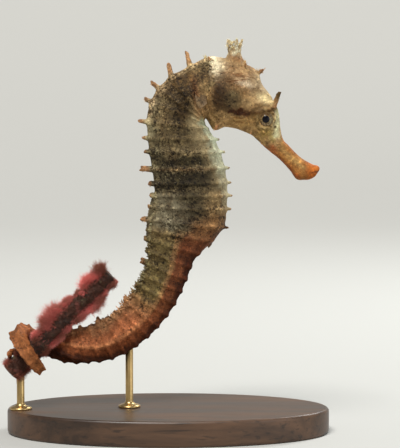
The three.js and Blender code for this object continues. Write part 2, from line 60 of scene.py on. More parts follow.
# %% Stations along trunk and tail
# Back x and z, belly x and z, half width, tail-likeness, shift in y, twist in degrees.
BODY_STATIONS = np.array([
    [12.6, 86.0, 12.2, 75.2, 3.0, 0, 0, 0],  # inside the head
    [9.2, 88.1, 8.9, 74.1, 3.8, 0, 0, 0],
    [5.4, 86.2, 8.6, 74.0, 4.0, 0, 0, 0],
    [0.5, 83.6, 8.5, 73.7, 4.1, 0, 0, 0],
    [-3.2, 79.4, 8.6, 73.3, 4.2, 0, 0, 0],
    [-4.7, 74.5, 9.1, 72.4, 4.5, 0, 0, 0],
    [-4.5, 70.3, 10.7, 69.9, 4.8, 0, 0, 0],
    [-4.1, 66.3, 12.4, 66.2, 5.1, 0, 0, 0],
    [-3.4, 62.0, 13.5, 62.3, 5.2, 0, 0, 0],
    [-2.9, 57.8, 14.0, 58.0, 5.3, 0, 0, 0],
    [-3.3, 53.8, 13.9, 53.4, 5.2, 0, 0, 0],
    [-4.0, 50.7, 13.3, 48.9, 5.0, 0, 0, 0],
    [-4.3, 47.7, 10.3, 44.9, 4.6, 0.3, 0, 0],
    [-4.4, 44.7, 6.2, 41.1, 4.2, 0.8, 0, 0],
    [-4.4, 41.0, 4.5, 37.5, 4.0, 1, 0, 0],
    [-5.4, 37.6, 3.0, 33.9, 3.9, 1, 0, 0],
    [-6.8, 34.4, 1.1, 30.3, 3.8, 1, 0, 0],
    [-8.6, 31.5, -1.7, 26.4, 3.7, 1, 0, 0],
    [-10.9, 29.0, -5.2, 22.8, 3.6, 1, 0, 0],
    [-13.7, 27.0, -9.4, 19.7, 3.6, 1, 0, 0],
    [-17.0, 25.5, -14.3, 17.6, 3.5, 1, 0, 0],
    [-20.2, 24.5, -18.8, 16.9, 3.3, 1, 0.1, 12],
    [-23.1, 23.4, -22.6, 16.9, 3.0, 1, 0.4, 32],
    [-25.4, 22.6, -26.2, 17.3, 2.65, 1, 0.9, 56],
])
STEM_RADIUS, STEM_Y, STEM_LEAN = 2.35, -3.2, math.radians(44.7)
STEM_CROSSING = np.array([-30.6, STEM_Y, 20.9])
STEM_ALONG = np.array([math.cos(STEM_LEAN), 0, math.sin(STEM_LEAN)])
STEM_NORMAL = np.array([-math.sin(STEM_LEAN), 0, math.cos(STEM_LEAN)])
GRIP_TURNS, GRIP_PITCH, GRIP_CLEAR, TIP_HALF, STEPS_A_TURN = 1.35, 4.6, 0.35, 0.55, 12
SIDEWAYS = np.array([0, 1, 0])


def placed(stations):
    """Back points, belly points and traits (half width, tail-likeness) of stations, after shift and twist."""
    back = np.stack([stations[:, 0], stations[:, 6], stations[:, 1]], axis=1)
    belly = np.stack([stations[:, 2], stations[:, 6], stations[:, 3]], axis=1)
    middle, half = (back + belly) / 2, (back - belly) / 2
    turn = np.radians(stations[:, 7])[:, None]
    up = half * np.cos(turn) + SIDEWAYS * np.linalg.norm(half, axis=1)[:, None] * np.sin(turn)
    return middle + up, middle - up, stations[:, 4:6]


def grip_stations(first_half):
    """The tail's helix round the stem, belly side in, tapering to the tip."""
    steps = round(GRIP_TURNS * STEPS_A_TURN)
    share = np.arange(steps + 1)[:, None] / steps
    turns = share * steps / STEPS_A_TURN
    half = first_half + (TIP_HALF - first_half) * share ** 0.85
    out = np.cos(turns * 2 * math.pi) * SIDEWAYS + np.sin(turns * 2 * math.pi) * STEM_NORMAL
    middle = STEM_CROSSING - STEM_ALONG * GRIP_PITCH * turns + out * (STEM_RADIUS + GRIP_CLEAR + half)
    return middle + out * half, middle - out * half, np.hstack([half * 0.95, np.ones_like(half)])


grip = grip_stations(BODY_STATIONS[-1, 4] * 0.92)
body_rows = [np.vstack(pair) for pair in zip(placed(BODY_STATIONS), grip)]
print("stations:", len(body_rows[0]))

# %% Smooth curves through stations
def between(a, b, c, d, f, pull):
    """The way from b to c at share f, as a cubic whose slopes are pull times c - a and d - b."""
    start, end = pull * (c - a), pull * (d - b)
    return ((2 * f**3 - 3 * f**2 + 1) * b + (f**3 - 2 * f**2 + f) * start
            + (3 * f**2 - 2 * f**3) * c + (f**3 - f**2) * end)


def spline(rows, t):
    """A smooth open curve through rows, at shares t of its way."""
    padded = np.vstack([2 * rows[0] - rows[1], rows, 2 * rows[-1] - rows[-2]])
    place = np.clip(t, 0, 1) * (len(rows) - 1)
    i = np.minimum(place.astype(int), len(rows) - 2)
    return between(*(padded[i + k] for k in range(4)), (place - i)[:, None], 0.5)


def unit(rows):
    """Rows of vectors, each made one long."""
    return rows / np.linalg.norm(rows, axis=-1, keepdims=True)


def near(value, middle, width):
    """1 where the value is the middle, fading on both sides."""
    return np.exp(-(((value - middle) / width) ** 2))


class BodyLine:
    """Length s along the middle, and at any s the middle, the way up, the side and the half sizes."""

    def __init__(self, back, belly, traits):
        self.rows = back, belly, traits
        self.shares = np.linspace(0, 1, len(back) * 40)
        middle = (spline(back, self.shares) + spline(belly, self.shares)) / 2
        steps = np.linalg.norm(np.diff(middle, axis=0), axis=1)
        self.lengths = np.concatenate([[0], np.cumsum(steps)])

    def at(self, s):
        back, belly, traits = self.rows
        t = np.interp(s, self.lengths, self.shares)
        top, low = spline(back, t), spline(belly, t)
        middle = (top + low) / 2
        half_depth = np.linalg.norm(top - middle, axis=1)
        up = (top - middle) / half_depth[:, None]
        near = [(spline(back, t + e) + spline(belly, t + e)) / 2 for e in (-1e-4, 1e-4)]
        ahead = unit(near[1] - near[0])
        side = unit(np.cross(ahead, up))
        trait = spline(traits, t)
        return dict(middle=middle, up=up, ahead=ahead, side=side, half_depth=half_depth,
                    half_width=trait[:, 0], kind=np.clip(trait[:, 1], 0, 1))
    def at_one(self, s):
        """The same at a single length."""
        return {key: value[0] for key, value in self.at(np.array([s])).items()}


body = BodyLine(*body_rows)
NAPE = float(np.interp(1 / (len(body_rows[0]) - 1), body.shares, body.lengths))
print("body line from the nape:", round(body.lengths[-1] - NAPE, 1), "mm")

# %% [markdown]
# ## Sections and rings
# Cut across the trunk and you see seven corners, cut the tail and you see four: the plates meet in ridges, and each
# ring has a raised crest. One closed curve through eight corner points, blended from the trunk's shape to the
# tail's, gives every section, and the rings are a ripple along the line, strongest where crest and ridge cross.

# %% Cross sections
# Corners as (sideways, up) in half widths and half depths: back, upper ridge, side ridge, lower ridge, belly.
TRUNK_SECTION = [(0, 0.93), (0.42, 1.0), (1.0, 0.12), (0.64, -0.76), (0, -1.0)]
TAIL_SECTION = [(0, 0.9), (0.72, 1.0), (1.0, -0.2), (0.52, -1.0), (0, -0.97)]
HEAD_SECTION = [(0, 1.0), (0.46, 0.78), (0.98, -0.02), (0.74, -0.62), (0, -1.0)]
SNOUT_SECTION = [(0, 1.0), (0.74, 0.72), (1.0, 0), (0.74, -0.72), (0, -1.0)]


def whole(section):
    half = np.array(section, dtype=float)
    return np.vstack([half, half[3:0:-1] * [-1, 1]])


def section_points(first, second, blend, turns):
    """Section curves for every station (rows) and every place round it (columns, 0 to 8)."""
    corners = whole(first)[None] * (1 - blend[:, None, None]) + whole(second)[None] * blend[:, None, None]
    i = np.floor(turns).astype(int) % 8
    f = (turns - np.floor(turns))[None, :, None]
    return between(*(corners[:, (i + k) % 8] for k in (-1, 0, 1, 2)), f, 0.42)


def near_ridge(turns, width, ridges=(1, 2, 3, 5, 6, 7)):
    """1 on a ridge, falling to 0 beside it."""
    return near(np.min([np.abs((turns - r + 4) % 8 - 4) for r in ridges], axis=0), 0, width)


# %% Ring crests
TRUNK_CRESTS = NAPE + np.array([2.4, 5.0, 7.1, 9.0, 12.0, 15.35, 18.5, 22.55, 26.0, 28.9, 31.8, 35.55])
TRUNK_END, TAIL_RINGS = NAPE + 37.1, 36
pitches = 1 - 0.5 * np.arange(TAIL_RINGS) / (TAIL_RINGS - 1)
pitches *= (body.lengths[-1] - TRUNK_END) / pitches.sum()
TAIL_CRESTS = TRUNK_END + np.cumsum(pitches) - pitches / 2
CRESTS = np.concatenate([TRUNK_CRESTS, TAIL_CRESTS])
EDGES = np.concatenate([[NAPE + 0.8], (CRESTS[1:] + CRESTS[:-1]) / 2, [body.lengths[-1]]])


def ring_phase(s):
    """Which ring a length lies on, and how far across it, from -0.5 to 0.5 with the crest at 0."""
    ring = np.clip(np.searchsorted(EDGES, s) - 1, 0, len(CRESTS) - 1)
    below, above = CRESTS[ring] - EDGES[ring], EDGES[ring + 1] - CRESTS[ring]
    away = s - CRESTS[ring]
    return ring, np.where(away < 0, 0.5 * away / below, 0.5 * away / above)


def ring_relief(s, turns, half_width, kind):
    """How far the skin stands out from the smooth section, in mm."""
    ring, phase = ring_phase(s)
    crest = near(phase, 0, 0.17)[:, None]
    ridge = near_ridge(turns, 0.17)[None] * (1 + 1.6 * kind[:, None])
    size = np.minimum(1, half_width / 3.6)[:, None]
    plate = -0.10 * (1 - crest) * (1 - np.minimum(ridge, 1))
    tubercle = 0.26 * crest * near_ridge(turns, 0.3)[None]
    return size * (0.20 * crest + 0.10 * ridge + tubercle + plate) - 0.05


print("rings:", len(CRESTS), "last pitch", round(float(pitches[-1]), 2), "mm")


# %% Sweep the body
def swept(line, s, first, second, columns, relief):
    """A grid of points: the section curves placed along the line, grown outwards by the relief."""
    here = line.at(s)
    turns = np.arange(columns) / columns * 8
    shape = section_points(first, second, here["kind"], turns)
    across = shape[..., 0] * here["half_width"][:, None]
    high = shape[..., 1] * here["half_depth"][:, None]
    flat = np.stack([across, high], axis=-1)
    tangent = np.roll(flat, -1, axis=1) - np.roll(flat, 1, axis=1)
    out = unit(np.stack([-tangent[..., 1], tangent[..., 0]], axis=-1))
    out *= np.sign((out * flat).sum(axis=-1).mean())
    flat = flat + out * relief(s, turns, here["half_width"], here["kind"])[..., None]
    grid = here["middle"][:, None] + flat[..., :1] * here["side"][:, None] + flat[..., 1:] * here["up"][:, None]
    return grid, out[..., :1] * here["side"][:, None] + out[..., 1:] * here["up"][:, None]


def grid_faces(rows, columns):
    """Quads of a closed tube of rows x columns, with a fan of triangles at each end."""
    r, c = np.meshgrid(np.arange(rows - 1), np.arange(columns), indexing="ij")
    a = r * columns + c
    b = r * columns + (c + 1) % columns
    quads = np.stack([a, a + columns, b + columns, b], axis=-1).reshape(-1, 4)
    first, last = rows * columns, rows * columns + 1
    ring = np.arange(columns)
    after = (ring + 1) % columns
    start = np.stack([np.full(columns, first), ring, after], axis=1)
    end = np.stack([np.full(columns, last), (rows - 1) * columns + after, (rows - 1) * columns + ring], axis=1)
    return quads.tolist() + start.tolist() + end.tolist()


def tube_mesh(name, grid):
    """A closed mesh from a grid of points, in the grid's own units."""
    rows, columns = grid.shape[:2]
    points = np.vstack([grid.reshape(-1, 3), grid[0].mean(axis=0), grid[-1].mean(axis=0)])
    mesh = bpy.data.meshes.new(name)
    mesh.from_pydata(points.tolist(), [], grid_faces(rows, columns))
    return mesh


def new_object(name, mesh):
    made = bpy.data.objects.new(name, mesh)
    scene.collection.objects.link(made)
    return made


body_s = np.arange(0, body.lengths[-1], FINE * 0.9)
body_grid, _ = swept(body, body_s, TRUNK_SECTION, TAIL_SECTION, BODY_COLUMNS, ring_relief)
body_tube = new_object("body_tube", tube_mesh("body_tube", body_grid))
print("body grid:", body_grid.shape[:2])

# %% [markdown]
# ## The head
# The head is a horse-like wedge at a right angle to the body. Behind it sits the big domed gill cover, in front of
# that the cheek, the bulging eye with its rim, and the long tube of the snout. One sweep gives the wedge and the
# snout, and the features are soft hills and hollows, each named and placed in the side view, so both sides match.

# %% Head and snout stations
HEAD_STATIONS = np.array([
    [8.0, 87.9, 8.2, 74.6, 3.2, 0, 0, 0],  # inside the neck
    [9.4, 88.5, 9.1, 73.8, 3.8, 0, 0, 0],
    [10.8, 88.6, 10.8, 71.4, 4.4, 0, 0, 0],
    [13.6, 88.1, 13.4, 72.1, 4.8, 0, 0, 0],
    [17.2, 87.2, 16.0, 71.7, 4.4, 0, 0, 0],
    [20.8, 85.3, 17.4, 71.2, 3.6, 0, 0, 0],
    [22.0, 82.2, 18.6, 70.7, 3.15, 0, 0, 0],
    [24.0, 79.5, 19.5, 70.3, 2.95, 0, 0, 0],
    [25.8, 75.9, 20.7, 69.3, 2.7, 0, 0, 0],
    [26.3, 71.9, 22.1, 67.9, 2.1, 0.3, 0, 0],
    [27.0, 69.2, 23.6, 66.6, 1.75, 0.8, 0, 0],
    [28.2, 67.9, 25.4, 65.2, 1.5, 1, 0, 0],
    [29.8, 66.2, 27.0, 63.7, 1.45, 1, 0, 0],
    [31.4, 64.8, 28.7, 61.8, 1.5, 1, 0, 0],
    [32.9, 63.9, 30.1, 59.9, 1.7, 1, 0, 0],
    [34.1, 63.3, 31.8, 59.7, 1.6, 1, 0, 0],
    [35.0, 63.1, 33.1, 59.8, 1.4, 1, 0, 0],
    [35.5, 62.7, 34.2, 60.3, 1.05, 1, 0, 0],
    [35.6, 62.1, 34.8, 60.9, 0.6, 1, 0, 0],
])
EYE = np.array([22.8, 1.95, 74.0])
EYE_RADIUS = 1.75


def hill(x, z, at, radii, lean=0.0):
    """A soft round hill, 1 at its middle: distance is measured in the side view, in radii, after leaning it."""
    turn = math.radians(lean)
    dx, dz = x - at[0], z - at[1]
    along, over = dx * math.cos(turn) + dz * math.sin(turn), dz * math.cos(turn) - dx * math.sin(turn)
    return np.exp(-((along / radii[0]) ** 2 + (over / radii[1]) ** 2))


def streak(x, z, start, end, width):
    """1 on the line from start to end, fading beside it."""
    start, way = np.array(start), np.array(end) - np.array(start)
    share = np.clip(((x - start[0]) * way[0] + (z - start[1]) * way[1]) / (way @ way), 0, 1)
    away = np.hypot(x - start[0] - share * way[0], z - start[1] - share * way[1])
    return np.exp(-((away / width) ** 2))


def step(value, low, high):
    """0 below low, 1 above high, and a smooth rise between."""
    t = np.clip((value - low) / (high - low), 0, 1)
    return t * t * (3 - 2 * t)


# %% Hills and hollows of the head
GILL_AT, GILL_RADII = (13.1, 78.4), (3.7, 4.7)
NOSTRIL_AT = (25.1, 72.2)
# Height in mm, shape, and the shape's measures in the side view.
HEAD_FORMS = [
    (0.42, streak, (25.0, 77.6), (20.6, 77.4), 0.62), (0.30, streak, (20.6, 77.4), (16.4, 81.8), 0.7),  # brow
    (0.30, streak, (20.0, 73.2), (15.9, 75.2), 0.6),  # bar over the cheek
    (-0.42, hill, (18.9, 79.8), (1.7, 1.5)), (-0.30, hill, (18.1, 72.7), (1.8, 0.8)),  # hollows behind the eye
    (-0.35, hill, (25.2, 71.3), (0.8, 1.8), 20),  # and in front of it
    (0.30, streak, (10.6, 86.6), (14.2, 86.8), 1.0), (-0.35, streak, (9.3, 87.5), (9.2, 75), 0.45),  # crown, nape
    (0.22, streak, (15.4, 87), (18.6, 83.4), 0.6), (0.25, streak, (20.9, 84.6), (18.6, 83.4), 0.5),  # plates
    (-0.28, streak, (35.8, 61.7), (33.9, 60.9), 0.24), (0.12, streak, (34.9, 63.0), (34.4, 60.0), 0.45),  # mouth
    (0.10, streak, (26.0, 67.6), (32.8, 61.6), 0.5),  # snout
]


def head_relief(x, z):
    """The head's hills and hollows in mm, for skin that faces sideways."""
    gill_x, gill_z = x - GILL_AT[0], z - GILL_AT[1]
    gill = np.hypot(gill_x / GILL_RADII[0], gill_z / GILL_RADII[1])
    high = 0.80 * np.sqrt(np.clip(1 - gill**2, 0, 1))
    high += 0.075 * np.cos(16 * np.arctan2(gill_z, gill_x)) * near(gill, 0.75, 0.3)
    high -= 0.42 * near(gill, 1.1, 0.09) * step(z, 86, 82)
    eye_x, eye_z = x - EYE[0], z - EYE[2]
    eye = np.hypot(eye_x, eye_z)
    high += 0.40 * near(eye, 2.12, 0.36) * (1 + 0.22 * np.sin(13 * np.arctan2(eye_z, eye_x)))  # rim, with wrinkles
    high += 0.10 * near(eye, 3.5, 0.3) * step(z, 76, 73) - 0.28 * near(eye, 2.95, 0.4)  # moat
    high += 0.16 * near(eye, 2.75, 0.16) * (0.4 + 0.6 * step(z, 74.5, 76.0) + 0.5 * step(-z, -73.4, -72.0))  # folds
    high += 0.10 * near(eye, 3.25, 0.15) * step(-z, -74.0, -72.5)
    nostril = np.hypot(x - NOSTRIL_AT[0], z - NOSTRIL_AT[1])
    high += 0.12 * near(nostril, 0.5, 0.18) - 0.45 * hill(x, z, NOSTRIL_AT, (0.28, 0.22))
    return high + sum(height * shape(x, z, *measures) for height, shape, *measures in HEAD_FORMS)


head_line = BodyLine(*placed(HEAD_STATIONS))
head_s = np.arange(0, head_line.lengths[-1], FINE * 0.8)
head_grid, head_out = swept(head_line, head_s, HEAD_SECTION, SNOUT_SECTION, HEAD_COLUMNS,
                            lambda s, turns, half_width, kind: np.zeros((len(s), len(turns))))
sideways = step(np.abs(head_out[..., 1]), 0.15, 0.75)
head_grid += head_out * (head_relief(head_grid[..., 0], head_grid[..., 2]) * sideways)[..., None]

# Skin that would cover the eyeball sinks into the socket behind it.
for flip in (1, -1):
    eye_at = EYE * [1, flip, 1]
    away = head_grid - eye_at
    far = np.linalg.norm(away, axis=-1, keepdims=True)
    same_side = (head_grid[..., 1:2] * flip > 0.4) & (far < EYE_RADIUS + 0.02)
    sunk = eye_at + away / np.maximum(far, 1e-6) * (EYE_RADIUS - 0.35)
    head_grid = np.where(same_side, sunk, head_grid)
head_tube = new_object("head_tube", tube_mesh("head_tube", head_grid))
print("head grid:", head_grid.shape[:2], "head line", round(float(head_line.lengths[-1]), 1), "mm")

# %% [markdown]
# ## Spines and coronet
# Every ring carries a pair of blunt, fleshy spines on its upper ridges, smaller knobs on its sides and a knob on
# the keel, and some rings' spines are much taller than their neighbours'. The crown on the head, the coronet, is a
# ring of such prongs on a stalk. A few hundred spines of one kind are work for Geometry Nodes: one profile,
# instanced on a cloud of points that carry each spine's way, reach and girth as attributes.

# %% Where the spines stand
UPPER_SPINES = [3.6, 3.3, 2.3, 1.7, 2.3, 1.5, 1.4, 2.9, 1.7, 1.3, 1.4, 2.3]
ROOT = 0.5  # how deep a spine is rooted, in mm
spines = []  # (foot, way, reach, girth)


def add_spine(foot, way, reach, girth):
    way = np.asarray(way, dtype=float)
    spines.append((np.asarray(foot, dtype=float), way / np.linalg.norm(way), reach, girth))


def spine_plan(ring):
    """Reach of a ring's upper, side, lower and keel spines, in mm."""
    if ring < len(TRUNK_CRESTS):
        return UPPER_SPINES[ring], 0.55 if ring > 2 else 0.3, 0.75 if ring > 3 else 0, 1.0 if ring > 4 else 0
    tail_ring = ring - len(TRUNK_CRESTS)
    fade = max(0.0, 1 - tail_ring / 26)
    return (2.3, 0.9, 1.5, 1.1)[(tail_ring + 1) % 4] * fade, 0.28 * fade, 0.5 * fade, 0.0


luck = np.random.default_rng(7)
for ring, crest in enumerate(CRESTS):
    here = body.at_one(crest)
    corners = whole(TRUNK_SECTION) * (1 - here["kind"]) + whole(TAIL_SECTION) * here["kind"]
    upper, side, lower, keel = spine_plan(ring)
    wanted = [(1, upper, 0.86, 0.45), (2, side, 0.66, 1.0), (3, lower, 0.62, 0.6), (4, keel, 0.62, 0.0)]
    for corner, reach, girth, spread in wanted:
        if reach < 0.12:
            continue
        for flip in (1,) if corner == 4 else (1, -1):
            across, high = corners[corner]
            foot = (here["middle"] + here["side"] * flip * across * here["half_width"]
                    + here["up"] * high * here["half_depth"])
            way = here["side"] * flip * across * spread + here["up"] * (0.1 if corner == 2 else high)
            way = way + here["ahead"] * ((-0.45 if ring == 1 else 0) + luck.normal(0, 0.07))
            add_spine(foot, way, reach * luck.uniform(0.88, 1.08), min(girth, here["half_width"] * 0.33))

# %% Spines of the head
for foot, tip, girth in [
    ((24.7, 1.4, 77.0), (26.1, 2.0, 80.2), 0.82),  # over the eye
    ((22.2, 2.3, 71.2), (22.5, 3.0, 70.8), 0.5),  # under the eye
    ((11.4, 2.3, 72.3), (11.1, 2.9, 71.6), 0.7),  # gill corner
    ((21.0, 0.6, 84.6), (22.3, 0.9, 85.5), 0.7),  # forehead
    ((17.9, 1.5, 86.1), (18.2, 2.1, 87.0), 0.5),
    ((9.9, 1.9, 87.3), (9.5, 2.6, 88.5), 0.5),  # nape plate
    ((19.5, 1.5, 71.4), (19.3, 2.0, 70.5), 0.4),  # chin
]:
    for flip in (1, -1):
        foot_at, tip_at = np.array(foot) * [1, flip, 1], np.array(tip) * [1, flip, 1]
        add_spine(foot_at, tip_at - foot_at, float(np.linalg.norm(tip_at - foot_at)), girth)

# The coronet's prongs, in rings that lean out, the inner ones taller: count, lean, height, girth, turn.
CORONET_X, CORONET_WAIST, CORONET_TIP = 15.55, 89.4, 92.4
PRONGS = [(5, 0.50, 1.0, 0.66, 0.0), (8, 0.66, 0.66, 0.55, 0.4), (4, 0.2, 0.85, 0.60, 0.9)]
for count, lean, height, girth, phase in PRONGS:
    for i in range(count):
        angle = (i + phase) / count * 2 * math.pi
        way = np.array([math.cos(angle) * lean, math.sin(angle) * lean * 0.85, 1.0])
        foot = np.array([CORONET_X, 0, CORONET_WAIST + 0.2]) + way * [0.9, 0.7, 0]
        add_spine(foot, way, (CORONET_TIP - foot[2]) * height * np.linalg.norm(way), girth)
print("spines:", len(spines))

# %% Short ways to build node trees
class Tree:
    """A node tree under construction. Each call adds a node; the short ones return the socket to read next."""

    def __init__(self, tree):
        self.tree = tree

    def node(self, kind, inputs=None, **settings):
        """A node of a kind, with its settings, and its inputs set to values or linked from sockets."""
        node = self.tree.nodes.new(kind)
        for key, value in settings.items():
            setattr(node, key, value)
        for key, value in (inputs or {}).items():
            if isinstance(value, bpy.types.NodeSocket):
                self.tree.links.new(value, node.inputs[key])
            else:
                node.inputs[key].default_value = value
        return node

    def add(self, kind, inputs=None, **settings):
        """A node's first output."""
        return self.node(kind, inputs, **settings).outputs[0]

    def math(self, operation, a, b=0.0, clamp=False):
        return self.add("ShaderNodeMath", {0: a, 1: b}, operation=operation, use_clamp=clamp)

    def plus(self, a, b):
        return self.math("ADD", a, b)

    def times(self, a, b, clamp=False):
        return self.math("MULTIPLY", a, b, clamp)

    def vector(self, operation, a, b):
        return self.add("ShaderNodeVectorMath", {0: a, "Scale" if operation == "SCALE" else 1: b}, operation=operation)

    def xyz(self, **parts):
        return self.add("ShaderNodeCombineXYZ", parts)


class Growth(Tree):
    """A geometry tree that grows a solid on every point of a cloud, with named inputs and their values."""

    def __init__(self, name, numbers):
        super().__init__(bpy.data.node_groups.new(name, "GeometryNodeTree"))
        self.numbers = numbers
        for in_out in ("INPUT", "OUTPUT"):
            self.tree.interface.new_socket("Geometry", in_out=in_out, socket_type="NodeSocketGeometry")
        for label, value in numbers.items():
            kind = {int: "Int", float: "Float"}.get(type(value), "Material")
            socket = self.tree.interface.new_socket(label, in_out="INPUT", socket_type="NodeSocket" + kind)
            if kind != "Material":
                socket.default_value = value
        self.given = self.node("NodeGroupInput").outputs
        self.made = self.node("NodeGroupOutput")

    def named(self, label, kind="FLOAT"):
        return self.add("GeometryNodeInputNamedAttribute", {"Name": label}, data_type=kind)

    def chance(self, low, high, step_on=0):
        """A random number for each point."""
        seed = self.plus(self.given["Seed"], step_on)
        return self.node("FunctionNodeRandomValue", {"Min": low, "Max": high, "Seed": seed},
                         data_type="FLOAT").outputs[1]

    def bent_line(self, end, count, bend, wave=None):
        """A straight line drawn up along Z in count points, bent over along X, and the share of the way along it."""
        line = self.add("GeometryNodeCurvePrimitiveLine", {"Start": (0, 0, 0), "End": end})
        line = self.add("GeometryNodeResampleCurve", {"Curve": line, "Count": count})
        share = self.add("GeometryNodeSplineParameter")
        offset = {"X": self.times(self.math("POWER", share, 2.0), bend)}
        if wave:
            offset["Y"] = self.times(self.math("SINE", self.times(share, wave[0])), wave[1])
        return self.add("GeometryNodeSetPosition", {"Geometry": line, "Offset": self.xyz(**offset)}), share

    def tube(self, line, sides, scale):
        """A closed solid round a line."""
        ring = self.add("GeometryNodeCurvePrimitiveCircle", {"Resolution": sides})
        return self.add("GeometryNodeCurveToMesh", {"Curve": line, "Profile Curve": ring, "Scale": scale,
                                                    "Fill Caps": True})

    def finish(self, points, solid, way, spin, size):
        """A solid stands on each point along its way, turned by its spin; it becomes real mesh with its material."""
        upright = self.add("FunctionNodeAlignRotationToVector", {"Vector": way}, axis="Z")
        spin = self.add("FunctionNodeEulerToRotation", {0: self.xyz(Z=spin)})
        stood = self.add("FunctionNodeRotateRotation", {"Rotation": upright, "Rotate By": spin}, rotation_space="LOCAL")
        copies = self.add("GeometryNodeInstanceOnPoints", {"Points": points, "Instance": solid, "Rotation": stood,
                                                           "Scale": size})
        real = self.add("GeometryNodeRealizeInstances", {"Geometry": copies})
        painted = self.add("GeometryNodeSetMaterial", {"Geometry": real, "Material": self.given["Finish"]})
        self.tree.links.new(painted, self.made.inputs[0])
        return self

    def grow(self, name, cloud):
        """The plain mesh that the tree makes of a cloud, as a new object at the origin."""
        item = new_object(name, cloud)
        modifier = item.modifiers.new("nodes", "NODES")
        modifier.node_group = self.tree
        for socket in self.tree.interface.items_tree:
            if socket.name in self.numbers:
                modifier[socket.identifier] = self.numbers[socket.name]
        baked_modifiers(item).name = name
        return item


def baked_modifiers(item):
    """Gives the object the mesh that its modifiers make, and no modifiers."""
    graph = bpy.context.evaluated_depsgraph_get()
    mesh = bpy.data.meshes.new_from_object(item.evaluated_get(graph))
    item.modifiers.clear()
    item.data = mesh
    return mesh


def set_attribute(mesh, name, values):
    """Keeps one number, vector or colour for each vertex."""
    values = np.asarray(values, dtype=float)
    kinds = {(): ("FLOAT", "value"), (3,): ("FLOAT_VECTOR", "vector"), (4,): ("FLOAT_COLOR", "color")}
    kind, key = kinds[values.shape[1:]]
    mesh.attributes.new(name, kind, "POINT").data.foreach_set(key, values.ravel())


def point_cloud(name, points, **attributes):
    """A mesh of loose points that carry attributes, for a tree to grow on."""
    mesh = bpy.data.meshes.new(name)
    mesh.from_pydata(np.asarray(points).tolist(), [], [])
    for key, values in attributes.items():
        set_attribute(mesh, key, values)
    return mesh


# %% Grow the spines
def spine_growth(numbers):
    """Points with way, reach and girth become blunt fleshy spines: wide at the foot, a waist, a swollen tip."""
    tree = Growth("Fleshy spines", numbers)
    line, share = tree.bent_line((0, 0, 1), 10, tree.given["Bend"])
    profile = tree.node("ShaderNodeFloatCurve", {"Value": share})
    points = profile.mapping.curves[0].points
    points[0].location, points[1].location = (0, 1.0), (1, 0.36)
    for place in [(0.22, 0.84), (0.5, 0.64), (0.74, 0.54), (0.9, 0.56)]:
        points.new(*place)
    way, girth, root = tree.named("way", "FLOAT_VECTOR"), tree.named("girth"), tree.given["Root"]
    sunk = tree.vector("SCALE", way, tree.times(root, -1.0))
    feet = tree.add("GeometryNodeSetPosition", {"Geometry": tree.given[0], "Offset": sunk})
    return tree.finish(feet, tree.tube(line, 10, profile.outputs[0]), way, tree.chance(0, 6.28),
                       tree.xyz(X=girth, Y=girth, Z=tree.plus(tree.named("reach"), root)))


feet, ways, reaches, girths = (np.array(column) for column in zip(*spines))
cloud = point_cloud("spine_points", feet, way=ways, reach=reaches, girth=girths)
skin_look = bpy.data.materials.new("speckled_skin")  # its nodes come with the colours, below
spine_numbers = {"Root": ROOT, "Bend": 0.16, "Seed": 3, "Finish": skin_look}
spine_solids = spine_growth(spine_numbers).grow("spine_solids", cloud)
print("spine faces:", len(spine_solids.data.polygons))

# %% The coronet's stalk
# Height, half length and half width of its levels. It is fluted, and leans back towards its foot.
STALK = [(86.4, 3.5, 2.2), (87.4, 2.5, 1.65), (88.5, 1.75, 1.3), (89.4, 1.4, 1.15), (90.2, 1.6, 1.3),
         (90.8, 1.4, 1.15), (91.0, 0.8, 0.65)]
level, half_length, half_width = (column[:, None] for column in np.array(STALK).T)
turn = np.arange(28) / 28 * 2 * math.pi
fluted = 1 + 0.1 * np.sin(5 * turn)
middle = CORONET_X - 0.09 * (level - CORONET_WAIST) ** 2 * (level < CORONET_WAIST)
stalk_grid = np.stack([middle + np.cos(turn) * half_length * fluted, np.sin(turn) * half_width * fluted,
                       level + 0 * turn], axis=-1)
stalk = new_object("coronet_stalk", tube_mesh("coronet_stalk", stalk_grid))

# %% [markdown]
# ## One skin
# The pieces so far pass through each other, as clay pieces do before they are smoothed. A voxel remesh melts them
# into one closed surface, a little smoothing rounds the joints, and a decimation then spends triangles only where
# the form needs them, so one skin covers the whole animal without a seam.

# %% Melt the pieces together
def join(objects, name):
    """One object from several, named after what they make."""
    bpy.ops.object.select_all(action="DESELECT")
    for each in objects:
        each.select_set(True)
    bpy.context.view_layer.objects.active = objects[0]
    bpy.ops.object.join()
    objects[0].name = objects[0].data.name = name
    return objects[0]


def with_normals_out(item):
    """Turns the faces of a closed mesh outwards."""
    work = bmesh.new()
    work.from_mesh(item.data)
    bmesh.ops.recalc_face_normals(work, faces=work.faces)
    work.to_mesh(item.data)
    work.free()


for part in (body_tube, head_tube, stalk, spine_solids):
    with_normals_out(part)
skin = join([body_tube, head_tube, stalk, spine_solids], "seahorse_skin")
melt = skin.modifiers.new("melt", "REMESH")
melt.mode, melt.voxel_size, melt.adaptivity = "VOXEL", FINE, 0
soften = skin.modifiers.new("soften", "SMOOTH")
soften.factor, soften.iterations = 0.5, SOFTENINGS
faces_before = len(baked_modifiers(skin).polygons)
thin = skin.modifiers.new("thin", "DECIMATE")
thin.ratio = min(1.0, SKIN_TRIANGLES / (2 * faces_before))
baked_modifiers(skin)
print("skin quads", faces_before, "-> faces", len(skin.data.polygons))


# %% Coordinates of every skin vertex on the body
def vertex_vectors(mesh, kind):
    """The vertices' places (kind co) or normals (kind normal), as rows."""
    flat = np.empty(len(mesh.vertices) * 3)
    mesh.vertices.foreach_get(kind, flat)
    return flat.reshape(-1, 3)


def point_tree(points):
    """A tree that finds the nearest of the points."""
    tree = KDTree(len(points))
    for number, place in enumerate(points):
        tree.insert(place, number)
    tree.balance()
    return tree


